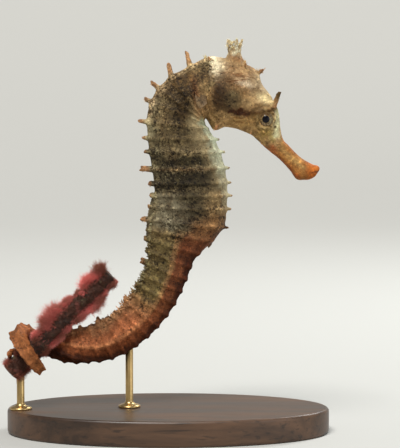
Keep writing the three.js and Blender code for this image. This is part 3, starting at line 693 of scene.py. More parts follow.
def nearest(grid, points, keep_every):
    """For each point, the grid's row and column that lie nearest, and how far off they are."""
    picked = grid[::keep_every, ::keep_every]
    tree = point_tree(picked.reshape(-1, 3))
    found = np.array([tree.find(place)[1:] for place in points])
    number = found[:, 0].astype(int)
    return number // picked.shape[1] * keep_every, number % picked.shape[1] * keep_every, found[:, 1]


places = vertex_vectors(skin.data, "co")
row, column, gap = nearest(body_grid, places, 2)
skin_s = body_s[row] - NAPE
skin_turn = column / body_grid.shape[1] * 8
head_row, head_column, head_gap = nearest(head_grid, places, 3)
on_head = head_gap < gap
print("vertices:", len(places), "on the head:", int(on_head.sum()))

# %% Fine grain of the skin
def ripple(points, wavelength, seed, waves=14):
    """A smooth random field of about the given wavelength, from -1 to 1, as a sum of sine waves."""
    dice = np.random.default_rng(seed)
    ways = unit(dice.normal(size=(waves, 3))) * 2 * math.pi / (wavelength * dice.uniform(0.7, 1.5, (waves, 1)))
    return np.sin(points @ ways.T + dice.uniform(0, 6.28, waves)).sum(axis=1) / math.sqrt(waves) / 1.6


def raised(mesh, base, height):
    """Moves each vertex to its place in base, raised by its height along the normal, and returns the new places."""
    moved = base + vertex_vectors(mesh, "normal") * height[:, None]
    mesh.vertices.foreach_set("co", moved.ravel())
    mesh.update()
    return moved


grain = 0.045 * ripple(places, 1.0, 11, 24) + 0.040 * ripple(places, 0.62, 12, 24)
calm = 1 - 0.75 * step(places[:, 0], 25, 28)  # the snout is smoother
grained = raised(skin.data, places, grain * calm)
print("grain up to", round(float(np.abs(grain).max()), 2), "mm")

# %% [markdown]
# ## The colours of the skin
# The animal matches the weed it lives in: a beige flank with two dark, peppered bands, a dark saddle on the neck, a
# pale keel, a rust-red tail that is olive along the back, and a tan head with a dark gill cover, a dark streak to
# the eye and an orange snout. Broad patches are worked out once for each vertex, from where it lies on the body,
# and kept as an attribute. The shader then adds the pepper and mottle, which are finer than the mesh.


# %% Brushes
def painted(paint, x, z, rows):
    """Lays colours over the paint in turn. A row is a mask that is 1 where its colour lies, or a shape in the side
    view with its measures, and then the colour and its strength."""
    for mask, *measures, colour, strength in rows:
        if callable(mask):
            mask = mask(x, z, *measures)
        share = np.clip(mask * strength, 0, 1)[:, None]
        paint = paint * (1 - share) + np.array(colour) * share
    return paint


def soft_band(value, low, high, edge):
    """1 between low and high, with soft edges."""
    return step(value, low - edge, low + edge) * (1 - step(value, high - edge, high + edge))


# %% Paint the trunk
def trunk_paint(p, s, high):
    """Colour of the trunk: p is the place, s the length from the nape, high 1 at the back, -1 at the belly."""
    x, z = p[:, 0], p[:, 2]
    wander = 0.7 * ripple(p, 5.0, 21) + 0.5 * ripple(p, 2.0, 22)
    s_w, high_w = s + 0.6 * wander, high + 0.14 * wander
    paint = np.tile([0.180, 0.140, 0.076], (len(p), 1))
    front = 1 - step(high_w, -0.5, 0.1)
    lower = soft_band(s_w, 27.8, 37.5, 1.0)
    dark = soft_band(s_w, 19.5, 21.8, 0.40) * step(high_w, -0.66, -0.38)
    line = soft_band(s + 0.25 * wander, 22.2, 22.95, 0.3) * (1 - step(high, 0.5, 0.8))
    edge = step(high + 0.10 * wander, 0.50, 0.70)
    return painted(paint, x, z, [
        (front * soft_band(s, 8, 19, 2), (0.230, 0.185, 0.105), 0.8),
        (step(high_w, 0.15, 0.7) * soft_band(s, 7, 37, 2), (0.112, 0.102, 0.060), 0.85),
        (hill, (-0.4, 74.5), (2.2, 4.5), (0.150, 0.105, 0.050), 0.8),
        (hill, (4.2, 71.8), (3.8, 5.2), (0.066, 0.050, 0.023), 0.95),
        (hill, (0.5, 68.8), (2.8, 1.6), (0.080, 0.062, 0.030), 0.75),
        (hill, (3.5, 82.8), (8.5, 3.4), 8, (0.088, 0.053, 0.023), 1.1),
        (hill, (3.4, 77.0), (2.4, 6.0), (0.052, 0.033, 0.014), 1.2),
        (hill, (3.2, 86.2), (2.5, 1.6), 30, (0.170, 0.110, 0.050), 0.7),
        (hill, (8.2, 76.0), (1.8, 4.6), (0.320, 0.205, 0.102), 1.1),
        (hill, (6.6, 79.5), (0.9, 3.2), 10, (0.160, 0.062, 0.032), 0.7),
        (lower * step(high_w, -0.45, 0.0), (0.165, 0.148, 0.102), 1),
        (lower * hill(x, z, (6.9, 53.6), (4.6, 5.4)), (0.042, 0.032, 0.017), 1.1),
        (lower * (1 - step(high_w, -0.58, -0.24)), (0.200, 0.140, 0.070), 1),
        (dark, (0.036, 0.028, 0.012), 1.0),
        (soft_band(s_w, 23.3, 26.9, 0.5) * step(high_w, -0.72, -0.40), (0.030, 0.024, 0.012), 1.0),
        (hill, (4.4, 56.5), (3.2, 1.6), (0.045, 0.035, 0.018), 1.0),
        (hill, (-0.8, 62.2), (1.2, 3.2), (0.130, 0.114, 0.068), 0.9),
        (line, (0.120, 0.074, 0.036), 0.7),
        # Light catches the edge of the back, between the spines.
        (edge * (1 - 0.6 * soft_band(s_w, 18, 27.5, 1)), (0.270, 0.235, 0.140), 0.85),
        (edge * (1 - step(s, 9, 13)), (0.500, 0.370, 0.225), 0.8),
    ])


# %% Paint the keel and the tail
def keel_paint(paint, p, s, high):
    wander = ripple(p, 1.7, 23)
    edge = np.interp(s, [3, 6, 12, 15, 20, 26, 32], [-0.62, -0.70, -0.76, -0.74, -0.66, -0.72, -0.95])
    keel = 1 - step(high + 0.08 * wander, edge - 0.16, edge + 0.14)
    # Pale cream of the keel, partly its own colour and partly a painted highlight from the light on the right.
    cream_and_rim_light = np.stack([np.interp(s, [4, 9, 16, 26], k) for k in ((0.42, 0.44, 0.44, 0.35), (0.39, 0.48, 0.48, 0.33),
                                                                (0.24, 0.34, 0.36, 0.22))], axis=1)
    below_chin = 1 - step(p[:, 2] + 0.6 * wander, 73.2, 75.6)
    return painted(paint, p[:, 0], p[:, 2], [
        (below_chin * (1 - step(high, -0.60, -0.28)) * soft_band(s, 4, 17, 2), (0.250, 0.200, 0.112), 0.85),
        (keel * below_chin * soft_band(s, 4.5, 25.5, 2.5), cream_and_rim_light, 1),
        (keel * soft_band(s, 25, 32, 1.5), (0.360, 0.325, 0.215), 0.9),
    ])


def tail_paint(paint, p, s, high):
    wander = 0.7 * ripple(p, 5.0, 21) + 0.5 * ripple(p, 2.0, 22)
    s_w, high_w = s + 0.6 * wander, high + 0.14 * wander
    rust = (1 - step(high_w, -0.35, 0.1)) * step(s_w, 33.0, 36.5)
    streaks = np.clip(ripple(p * [1.0, 1.0, 0.4], 1.6, 24), 0, 1) * rust
    tail = step(s_w, 36.5, 40)
    low_tail = step(s_w, 54, 63)
    ridge = tail * near(high, 0.03, 0.08) * (0.55 + 0.45 * low_tail)
    grip = step(s_w, 82, 88)
    belly = 1 - step(high_w, -0.55, -0.28)
    return painted(paint, p[:, 0], p[:, 2], [
        (rust, (0.125, 0.058, 0.023), 1),
        (streaks, (0.060, 0.024, 0.010), 0.9),
        ((1 - step(high_w, -0.75, -0.3)) * soft_band(s_w, 33.5, 40, 1.5), (0.095, 0.034, 0.014), 0.8),
        (hill, (11.2, 50.0), (2.4, 2.0), (0.240, 0.140, 0.062), 0.8),
        (tail, (0.125, 0.090, 0.040), 1),
        (tail * soft_band(s_w, 40, 56, 2) * step(high_w, -0.1, 0.3), (0.108, 0.082, 0.034), 1),
        (tail * (1 - step(high + 0.05 * wander, -0.10, 0.02)), (0.150, 0.050, 0.021), 1),
        (low_tail, (0.262, 0.090, 0.040), 1),
        (low_tail * step(high_w, 0.30, 0.70), (0.285, 0.155, 0.082), 0.9),
        (low_tail * (1 - step(high + 0.05 * wander, -0.22, -0.04)), (0.190, 0.056, 0.022), 0.9),
        # A painted highlight runs along the side ridge, and the underside is dark red.
        (ridge, (0.360, 0.155, 0.072), 0.6),
        (grip, (0.260, 0.092, 0.034), 0.9),
        (grip * (1 - step(high_w, -0.2, 0.2)), (0.170, 0.046, 0.016), 0.8),
        (step(s_w, 40, 44) * belly, (0.042, 0.010, 0.003), 1.0),
    ])


# %% Paint the head
def head_paint(p):
    """Colour of the head and snout, with painted highlights on the forehead and nape, from its place in the side view.
    """
    wander = 0.45 * ripple(p, 3.0, 31) + 0.35 * ripple(p, 1.3, 32)
    x, z = p[:, 0] + 0.5 * wander, p[:, 2] + 0.5 * ripple(p, 2.0, 33)
    paint = np.tile([0.290, 0.185, 0.090], (len(p), 1))
    rim = near(np.hypot(p[:, 0] - EYE[0], p[:, 2] - EYE[2]), 2.15, 0.5)
    over_eye = streak(x, z, (19.8, 75.1), (25.4, 76.7), 0.60) * (0.75 + 0.35 * ripple(p, 1.2, 36))
    snout = step(x + 0.55 * (70 - z), 26.4, 28.0) * step(72 - z, 0, 2)
    return painted(paint, x, z, [
        (hill, (16.4, 85.0), (5.2, 2.2), -20, (0.330, 0.215, 0.118), 0.9),
        (hill, (15.0, 82.6), (3.4, 1.7), -20, (0.215, 0.110, 0.045), 0.9),
        # Painted highlights where light from above falls on the forehead and its front edge.
        (hill, (18.3, 82.2), (2.4, 1.0), -20, (0.600, 0.500, 0.390), 1.2),
        (hill, (21.9, 81.8), (1.2, 2.9), 30, (0.600, 0.500, 0.360), 0.9),
        (hill, (22.4, 79.0), (2.4, 1.15), -30, (0.580, 0.485, 0.300), 1.1),
        (streak, (17.2, 80.6), (21.0, 80.9), 0.42, (0.170, 0.105, 0.055), 0.8),
        # The nape's pale patch, partly its own colour and partly a painted highlight from above.
        (hill, (10.6, 86.2), (2.3, 3.6), (0.650, 0.595, 0.465), 1.25),
        (hill, (9.7, 80.5), (1.2, 4.5), (0.400, 0.260, 0.135), 0.95),
        (hill, (18.0, 77.9), (2.2, 0.8), -12, (0.230, 0.160, 0.085), 0.85),
        (hill, (12.4, 78.8), (3.5, 4.0), 0, (0.050, 0.025, 0.009), 1.35),
        (hill, (11.8, 79.2), (2.4, 3.2), (0.030, 0.014, 0.005), 0.9),
        (hill, (15.1, 79.0), (2.0, 2.6), (0.096, 0.072, 0.037), 0.95),
        (hill, (9.4, 77.3), (0.9, 3.8), (0.300, 0.195, 0.096), 1.0),
        (hill, (12.2, 74.0), (3.4, 1.7), (0.350, 0.230, 0.110), 0.95),
        (hill, (17.4, 73.2), (3.2, 1.3), (0.470, 0.300, 0.125), 0.95),
        (streak, (14.4, 75.9), (20.6, 75.3), 0.72, (0.040, 0.014, 0.005), 1.4),
        (hill, (24.2, 78.5), (1.3, 0.8), -30, (0.600, 0.490, 0.280), 0.95),
        (hill, (20.8, 73.8), (1.1, 1.5), (0.150, 0.090, 0.028), 0.85),
        (hill, (22.8, 70.8), (2.0, 1.5), (0.215, 0.145, 0.040), 0.9),
        (hill, (21.6, 69.6), (1.8, 0.7), -40, (0.330, 0.215, 0.090), 0.8),
        (streak, (25.8, 76.2), (25.2, 70.0), 0.85, (0.460, 0.460, 0.310), 0.95),
        (streak, (24.0, 71.6), (24.5, 68.6), 0.5, (0.230, 0.170, 0.060), 0.8),
        (rim, (0.300, 0.225, 0.115), 0.6),
        (rim * step(ripple(p, 0.9, 34, 24), 0.15, 0.5), (0.075, 0.042, 0.014), 0.85),
        (over_eye, (0.080, 0.040, 0.013), 1.05),
        (hill, (19.4, 74.3), (1.7, 0.9), (0.115, 0.066, 0.023), 0.95),
        (snout, (0.290, 0.125, 0.036), 1),
        (snout * streak(x, z, (25.8, 67.8), (31.6, 62.6), 0.75), (0.345, 0.210, 0.080), 0.95),
        (streak, (22.0, 68.1), (30.4, 60.2), 0.45, (0.360, 0.100, 0.028), 0.85),
        (streak, (27.6, 68.7), (33.4, 64.0), 0.45, (0.360, 0.120, 0.034), 0.85),
        (hill, (24.6, 66.8), (1.0, 0.6), -45, (0.420, 0.120, 0.040), 0.8),
        (step(x, 31.6, 33.6) * snout, (0.400, 0.115, 0.020), 0.9),
        (hill(p[:, 0], p[:, 2], NOSTRIL_AT, (0.3, 0.25)), (0.030, 0.018, 0.008), 1.2),
        (streak, (35.9, 61.9), (33.6, 61.0), 0.26, (0.100, 0.026, 0.008), 1.0),
    ])


# %% Put the paint together
x, z = places[:, 0], places[:, 2]
high = np.cos(skin_turn / 8 * 2 * math.pi)
stands_out = step(np.minimum(gap, head_gap), 0.35, 0.9)
head_share = step(gap - head_gap, -0.2, 0.2)
body_share = 1 - head_share
on_crown = step(z, 87.8, 89.3) * soft_band(x, 12.0, 19.0, 0.5)
crown_patches = step(ripple(places, 1.1, 35, 24), -0.3, 0.5)
crown_colour = painted(np.array([[0.400, 0.310, 0.195]]), x, z, [(crown_patches, (0.680, 0.650, 0.520), 1)])
paint = keel_paint(trunk_paint(places, skin_s, high), places, skin_s, high)
paint = tail_paint(paint, places, skin_s, high)
paint = painted(paint, x, z, [(head_share, head_paint(places), 1), (on_crown, crown_colour, 0.9)])
spine_colour = np.array([0.270, 0.135, 0.065]) * (0.45 + 0.55 * step(paint.mean(axis=1), 0.03, 0.15))[:, None]
paint = painted(paint, x, z, [(stands_out * (1 - on_crown), spine_colour, 0.8),
                              (hill, (26.0, 79.9), (1.3, 1.7), (0.075, 0.045, 0.015), 1.3)])

# Painted shade darkens the thin furrows that part the rings, and a painted highlight runs along each crest.
_, phase = ring_phase(skin_s + NAPE)
ringed = body_share * (1 - stands_out) * (1 - 0.5 * step(skin_s, 40, 60))
furrow_shade, crest_highlight = near(np.abs(phase), 0.5, 0.10) * ringed, near(phase, 0, 0.13) * ringed
paint = paint * (1 - (0.36 * furrow_shade - 0.20 * crest_highlight) * (0.75 + 0.35 * ripple(places, 2.2, 44)))[:, None]
# Head and tail are the warmest.
warm = (1 - 0.75 * soft_band(skin_s, 6, 50, 4) * body_share)[:, None]
paint = paint * (1 - warm * [0, 0.02, 0.11])

# How thick the pepper lies: dense on the bands and the saddle, thin on the keel, snout and face.
underside = 1 - step(high, -0.65, -0.1)
pepper = 0.42 + 0.35 * ripple(places, 6.0, 41) + 0.20 * ripple(places, 2.5, 42)
pepper += 0.50 * soft_band(skin_s, 17.5, 28.0, 1.0) + 0.45 * hill(x, z, (3.0, 80.5), (7, 6))
pepper += 0.08 * step(high, 0.1, 0.5) * step(skin_s, 36, 40) * (1 - step(skin_s, 58, 66))
pepper *= 1 - 0.80 * underside * soft_band(skin_s, 4, 30, 2)
pepper *= 1 - 0.55 * step(skin_s, 36, 40) * (1 - step(high, -0.1, 0.2))
pepper *= 1 - 0.85 * hill(x, z, (8.4, 78.0), (1.9, 6.0))
pepper *= 1 - 0.45 * step(skin_s, 54, 64)
on_face = 0.10 + 0.30 * hill(x, z, (12.5, 78.5), (3.5, 4.5)) + 0.12 * ripple(places, 2, 43)
pepper = pepper * body_share + head_share * on_face
pepper = np.clip(pepper * (1 - 0.7 * stands_out) * (1 - step(x, 25.0, 27.0)), 0, 1)

# How strongly the mottle shows, and where fine wrinkle lines cross the forehead.
mottle = 1 - 0.20 * head_share - 0.25 * step(skin_s, 54, 64) * body_share
mottle -= 0.45 * underside * soft_band(skin_s, 3, 28, 2) * body_share
lines = hill(x, z, (15.5, 83.4), (5.0, 3.0), -20) + 0.7 * hill(x, z, (17.5, 74.0), (4.5, 2.0))
lines = head_share * np.clip(lines, 0, 1)


def paint_vertices(mesh, name, colours):
    """Keeps a colour, with its alpha of 1, for each vertex."""
    set_attribute(mesh, name, np.hstack([colours, np.ones((len(colours), 1))]))


for name, values in (("pepper", pepper), ("mottle", mottle), ("lines", lines)):
    set_attribute(skin.data, name, values)
paint_vertices(skin.data, "paint", paint)

# %% Wrinkles of the head
def drawn_out(points, lean):
    """Places squeezed along a line that leans by so many degrees in the side view, so that ripples run along it."""
    turn = math.radians(lean)
    along = points[:, 0] * math.cos(turn) + points[:, 2] * math.sin(turn)
    over = points[:, 2] * math.cos(turn) - points[:, 0] * math.sin(turn)
    return np.stack([along * 0.28, points[:, 1] * 0.6, over], axis=1)


creases = -np.abs(ripple(drawn_out(places, -18), 1.1, 71, 24))
folded = lines + 0.5 * hill(x, z, (21.5, 79.5), (3.0, 2.5)) + 0.4 * hill(x, z, (22.5, 71.5), (2.5, 2.0))
raised(skin.data, grained, 0.16 * (creases + 0.3) * np.clip(head_share * folded, 0, 1))
print("mean paint:", paint.mean(axis=0).round(3), "mean pepper:", round(float(pepper.mean()), 2))

# %% [markdown]
# ## Skin material
# Close up, the skin is covered in small granules, with dark pepper over paler flecks and a faint net of darker
# lines. Noise at several sizes breaks the broad patches up: cut off at a threshold it gives ragged pepper, and the
# threshold follows the pepper attribute. The same patterns drive the bump, so that what looks rough also catches
# the light.

# %% Short ways to build materials
class Look(Tree):
    """A material under construction, with fixed values for its shader's inputs."""

    def __init__(self, name, values=None):
        self.material = bpy.data.materials.get(name) or bpy.data.materials.new(name)
        self.material.use_nodes = True
        super().__init__(self.material.node_tree)
        self.tree.nodes.clear()
        self.shader = self.node("ShaderNodeBsdfPrincipled", values)
        self.node("ShaderNodeOutputMaterial", {"Surface": self.shader.outputs[0]})
        self.where = self.node("ShaderNodeTexCoord").outputs["Object"]

    def mix(self, share, a, b, blend="MIX"):
        return self.node("ShaderNodeMix", {0: share, 6: a, 7: b}, data_type="RGBA", blend_type=blend).outputs[2]

    def ramp(self, value, low, high, to_low=0.0, to_high=1.0):
        """A straight slope from (low, to_low) to (high, to_high), flat outside."""
        return self.add("ShaderNodeMapRange", {"Value": value, "From Min": low, "From Max": high, "To Min": to_low,
                                               "To Max": to_high}, clamp=True)

    def noise(self, where, size, detail=4.0, roughness=0.55, distortion=0.0, shift=None):
        """Noise with patches about size mm across, looked up elsewhere when shifted."""
        if shift:
            where = self.vector("ADD", where, (shift, shift * 0.7, -shift))
        return self.node("ShaderNodeTexNoise", {"Vector": where, "Scale": 0.5 / (size * MM), "Detail": detail,
                                                "Roughness": roughness, "Distortion": distortion}).outputs["Fac"]

    def cells(self, where, size, feature="F1"):
        """Rounded cells about size mm across."""
        return self.node("ShaderNodeTexVoronoi", {"Vector": where, "Scale": 1 / (size * MM)}, feature=feature).outputs

    def shaken(self, where, size, amount):
        """The place, shifted about by noise, so that what reads it loses its straight lines."""
        wobble = self.node("ShaderNodeTexNoise", {"Vector": where, "Scale": 0.5 / (size * MM), "Detail": 3})
        wobble = self.vector("SUBTRACT", wobble.outputs["Color"], (0.5, 0.5, 0.5))
        return self.vector("ADD", where, self.vector("SCALE", wobble, amount * MM))

    def attribute(self, name, output="Fac"):
        return self.node("ShaderNodeAttribute", attribute_name=name).outputs[output]

    def finish(self, colour, roughness, bump=None):
        """Links the colour, the roughness and a bump of (strength, depth in mm, height), and returns the material."""
        links = {"Base Color": colour, "Roughness": roughness}
        if bump:
            strength, depth, height = bump
            links["Normal"] = self.add("ShaderNodeBump", {"Strength": strength, "Distance": depth * MM,
                                                          "Height": height})
        for name, socket in links.items():
            self.tree.links.new(socket, self.shader.inputs[name])
        return self.material


# %% The skin material
def skin_material():
    look = Look("speckled_skin", {"Specular IOR Level": 0.14, "Subsurface Weight": 0.06,
                                  "Subsurface Radius": (0.0012, 0.0006, 0.0003)})
    colour = look.attribute("paint", "Color")
    pepper = look.attribute("pepper")
    broad = look.noise(look.where, 2.4, 5, 0.62, 0.5)
    small = look.noise(look.where, 0.55, 6, 0.7, 0.3)
    mottle = look.attribute("mottle")
    tone = look.mix(look.ramp(broad, 0.36, 0.64), (0.62, 0.56, 0.50, 1), (1.36, 1.36, 1.34, 1))
    colour = look.mix(mottle, colour, tone, "MULTIPLY")
    grainy = look.mix(look.ramp(small, 0.34, 0.66), (0.55, 0.48, 0.42, 1), (1.50, 1.50, 1.48, 1))
    colour = look.mix(look.times(mottle, 0.9), colour, grainy, "MULTIPLY")
    # Fine wrinkle lines, drawn out along the head.
    drawn = look.add("ShaderNodeMapping", {"Vector": look.where, "Rotation": (0, math.radians(-18), 0),
                                           "Scale": (0.16, 0.5, 1.0)})
    line = look.ramp(look.noise(drawn, 0.30, 3, 0.6, 0.6), 0.47, 0.40, 0.0, 1.0)
    line = look.times(line, look.attribute("lines"))
    shade = look.mix(1.0, colour, (0.50, 0.36, 0.28, 1), "MULTIPLY")
    colour = look.mix(line, colour, shade)
    # A faint net of darker lines.
    net = look.cells(look.shaken(look.where, 0.5, 0.9), 0.95, "DISTANCE_TO_EDGE")["Distance"]
    net = look.times(look.ramp(net, 0.03, 0.13, 1.0, 0.0), look.ramp(pepper, 0.15, 0.8, 0.12, 0.62))
    colour = look.mix(net, colour, (0.030, 0.020, 0.010, 1))
    # Granules in two sizes, each with a tone of its own, more of them dark where the pepper lies thick.
    ragged = look.ramp(look.noise(look.where, 0.42, 3, 0.65, 0.25, 0.013), 0.25, 0.75, -0.30, 0.30)
    for size, cover, strength in ((0.62, 0.50, 0.80), (0.32, 0.62, 0.82)):
        granule = look.cells(look.shaken(look.where, size * 0.7, size * 0.9), size)
        own = look.node("ShaderNodeSeparateColor", {"Color": granule["Color"]}).outputs
        level = look.plus(look.ramp(pepper, 0.0, 1.0, -0.06, cover), ragged)
        dark = look.times(look.math("SUBTRACT", level, own[0]), 7.0, True)
        dark = look.times(dark, look.ramp(granule["Distance"], 0.42, 0.70, strength, 0.25))
        shade = look.mix(1.0, colour, (0.17, 0.14, 0.11, 1), "MULTIPLY")
        colour = look.mix(dark, colour, shade)
        lift = look.times(look.ramp(own[1], 0.80, 0.95), look.times(mottle, 0.55))
        pale = look.mix(1.0, colour, (1.9, 1.86, 1.8, 1), "MULTIPLY")
        colour = look.mix(lift, colour, pale)
    # A few pale flecks among the pepper.
    fleck = look.cells(look.shaken(look.where, 0.2, 0.15), 0.26)
    own = look.node("ShaderNodeSeparateColor", {"Color": fleck["Color"]}).outputs
    chosen = look.times(look.ramp(own[2], 0.94, 0.96), look.ramp(pepper, 0.3, 0.9, 0.0, 0.45))
    chosen = look.times(chosen, look.ramp(fleck["Distance"], 0.25, 0.45, 1.0, 0.0))
    colour = look.mix(chosen, colour, (0.40, 0.34, 0.23, 1))
    granules = look.cells(look.where, 0.36, "SMOOTH_F1")["Distance"]
    height = look.times(granules, -0.7)
    height = look.plus(height, look.times(small, 1.2))
    height = look.plus(height, look.times(broad, 0.8))
    return look.finish(colour, look.ramp(small, 0.3, 0.7, 0.50, 0.80), (0.7, 0.22, height))


skin.data.materials.clear()
skin.data.materials.append(skin_material())

# %% [markdown]
# ## Eyes
# A seahorse's eye is a small turret: a round ball in a fleshy rim, with a black pupil, a thin bright ring round it,
# and an olive-brown iris with paler blotches. A smooth ball whose pattern is worked out from the distance to the
# pupil's middle gives all of that, and a thin clear coat gives the wet shine.

# %% Eyeballs
def ball(name, centre, radius, columns=64, rows=40):
    """A closed ball with its pole along Y, so that the pupil has the finest faces."""
    polar = np.linspace(0.03, math.pi - 0.03, rows)
    around = np.arange(columns) / columns * 2 * math.pi
    grid = np.stack([np.outer(np.sin(polar), np.cos(around)), np.outer(np.cos(polar), np.ones(columns)),
                     np.outer(np.sin(polar), np.sin(around))], axis=-1) * radius + centre
    made = new_object(name, tube_mesh(name, grid))
    with_normals_out(made)
    return made


def eye_material():
    look = Look("olive_eye", {"Specular IOR Level": 0.2, "IOR": 1.36, "Coat Weight": 0.10, "Coat Roughness": 0.05})
    centre = tuple(v * MM for v in (EYE[0], 0, EYE[2]))
    local = look.vector("SUBTRACT", look.where, centre)
    flat = look.vector("MULTIPLY", local, (1 / MM, 0, 1 / MM))
    far = look.node("ShaderNodeVectorMath", {0: flat}, operation="LENGTH").outputs["Value"]
    parts = look.node("ShaderNodeSeparateXYZ", {0: flat}).outputs
    angle = look.math("ARCTAN2", parts["Z"], look.math("ABSOLUTE", parts["X"]))
    spokes = look.xyz(X=look.times(angle, 2.0), Y=far, Z=parts["X"])
    blotches = look.add("ShaderNodeTexNoise", {"Vector": spokes, "Scale": 2.2, "Detail": 5, "Roughness": 0.7})
    iris = look.mix(look.ramp(blotches, 0.44, 0.58), (0.075, 0.042, 0.014, 1), (0.260, 0.175, 0.075, 1))
    low = look.times(look.ramp(parts["Z"], -1.2, -0.3, 1.0, 0.0), look.ramp(blotches, 0.44, 0.54))
    iris = look.mix(look.times(low, 0.8), iris, (0.360, 0.260, 0.170, 1))
    front = look.times(look.ramp(parts["X"], 0.3, 1.2), look.ramp(blotches, 0.40, 0.60, 0.1, 0.7))
    iris = look.mix(front, iris, (0.330, 0.300, 0.170, 1))
    # Painted shade darkens the top of the iris, under the brow.
    top = look.ramp(parts["Z"], 0.1, 0.9)
    iris = look.mix(look.times(top, 0.85), iris, (0.060, 0.028, 0.009, 1))
    ring = look.times(look.ramp(far, 0.88, 0.92), look.ramp(far, 0.95, 1.05, 1.0, 0.0))
    iris = look.mix(look.times(ring, 0.5), iris, (0.280, 0.190, 0.070, 1))
    edge = look.ramp(far, 1.30, 1.62)
    iris = look.mix(look.times(edge, 0.6), iris, (0.120, 0.075, 0.028, 1))
    pupil = look.ramp(far, 0.84, 0.90, 1.0, 0.0)
    colour = look.mix(pupil, iris, (0.003, 0.0025, 0.005, 1))
    return look.finish(colour, look.ramp(pupil, 0, 1, 0.6, 0.2))


eye_look = eye_material()
eyes = []
for side, flip in (("left", 1), ("right", -1)):
    eye = ball(f"eyeball_{side}", EYE * [1, flip, 1], EYE_RADIUS)
    eye.data.materials.append(eye_look)
    eyes.append((eye, f"eye_{side}"))
print("eyes:", [e.name for e, _ in eyes])

# %% [markdown]
# ## Fins
# A seahorse has four small fins: one on the back, one behind each gill cover, and a tiny one below the belly. They
# are thin clear webs stiffened by rays that spread from a short root. A closed sheet whose thickness swells at each
# ray shows the rays as real ribs, and a material that lets some light through keeps the web glassy.

# %% Fin meshes
def fin_mesh(name, foot, along, out, root, reach, spread, rays, lean=0.0):
    """A closed thin fan: root is the length of its foot, reach its height, spread the rays' angles in degrees."""
    x = unit(np.array(along, dtype=float))
    y = np.array(out, dtype=float)
    y = unit(y - x * (y @ x))
    z = np.cross(x, y)
    u = np.linspace(0, 1, rays * 8 + 1)[:, None]
    w = np.linspace(0, 1, 16)[None, :]
    angle = np.radians(spread[0] + (spread[1] - spread[0]) * u)
    scallop = 1 - 0.05 * np.abs(np.sin(math.pi * rays * u)) * w
    tall = reach * (0.62 + 0.38 * np.sin(math.pi * (0.12 + 0.76 * u))) * scallop
    flat_x = root * u + tall * w * np.sin(angle)
    flat_y = tall * w * np.cos(angle)
    rib = np.abs(np.cos(math.pi * rays * u)) ** 3
    half = (0.030 + 0.075 * rib * (1 - 0.6 * w)) * (1 - 0.5 * w) * np.minimum(1, np.minimum(u, 1 - u) * 30 + 0.15)
    wave = lean * w**2 * np.sin(u * 9.0)
    middle = foot + flat_x[..., None] * x + flat_y[..., None] * y + wave[..., None] * z
    near, far = middle + half[..., None] * z, middle - half[..., None] * z
    made = new_object(name, tube_mesh(name, np.concatenate([near, far[:, ::-1]], axis=1)))
    with_normals_out(made)
    return made


def back_point(ring, sink):
    """A place on a ring's back, sunk by so many mm, and the body there."""
    here = body.at_one(CRESTS[ring])
    return here["middle"] + here["up"] * (here["half_depth"] * 0.93 - sink), here


first_back, first_here = back_point(9, 0.5)
last_back, _ = back_point(13, 0.5)
BACK_FOOT = last_back - first_back
fins = [(fin_mesh("dorsal_web", first_back, BACK_FOOT, first_here["up"], np.linalg.norm(BACK_FOOT), 2.3, (-4, 24), 17,
                  0.14), "dorsal_fin", (0.150, 0.120, 0.066))]
belly_here = body.at_one(CRESTS[12])
anal_foot = belly_here["middle"] - belly_here["up"] * belly_here["half_depth"] * 0.9
fins.append((fin_mesh("anal_web", anal_foot, belly_here["ahead"], -belly_here["up"], 1.5, 0.75, (-10, 35), 5),
             "anal_fin", (0.150, 0.070, 0.030)))
for side, flip in (("left", 1), ("right", -1)):
    web = fin_mesh(f"pectoral_web_{side}", np.array([8.9, 3.35 * flip, 80.2]), (0.12, 0, -1), (-1, 0.34 * flip, -0.10),
                   2.6, 2.9, (-24, 30), 15, 0.16)
    fins.append((web, f"pectoral_fin_{side}", (0.200, 0.125, 0.060)))


# %% Fin material
def fin_material():
    look = Look("clear_fin", {"Transmission Weight": 0.18, "Specular IOR Level": 0.25})
    mottle = look.noise(look.where, 0.7, 4, 0.6)
    tone = look.mix(look.ramp(mottle, 0.36, 0.64), (0.55, 0.52, 0.48, 1), (1.6, 1.6, 1.55, 1))
    colour = look.mix(1.0, look.attribute("tint", "Color"), tone, "MULTIPLY")
    spots = look.noise(look.where, 0.35, 2, 0.5, 0.5, 0.017)
    colour = look.mix(look.ramp(spots, 0.56, 0.60, 0.0, 0.7), colour, (0.040, 0.026, 0.012, 1))
    return look.finish(colour, look.ramp(mottle, 0.3, 0.7, 0.35, 0.55), (0.3, 0.05, mottle))


fin_look = fin_material()
for web, _, tint in fins:
    paint_vertices(web.data, "tint", np.tile(tint, (len(web.data.vertices), 1)))
    web.data.materials.append(fin_look)
print("fin faces:", {web.name: len(web.data.polygons) for web, *_ in fins})

# %% [markdown]
# ## The stem
# The tail grips a finger-thick rod as it would any weed or coral: a lumpy dark core, grown over with soft pink-red
# fuzz, sawn off at both ends. The core is a sweep with lumps and granules in its mesh. The fuzz is thousands of thin
# strands in tufts, which Geometry Nodes scatter, because no material alone gives that broken outline.

# %% The stem's core
STEM_BELOW, STEM_ABOVE = 8.8, 24.0
stem_along = np.arange(-STEM_BELOW, STEM_ABOVE, 0.14)
stem_around = np.arange(120) / 120 * 2 * math.pi


def stem_place(along, around, radius):
    """Places on the stem, from the length along it, the angle round it and the radius."""
    out = np.cos(around)[..., None] * STEM_NORMAL - np.sin(around)[..., None] * SIDEWAYS
    return STEM_CROSSING + along[..., None] * STEM_ALONG + radius[..., None] * out


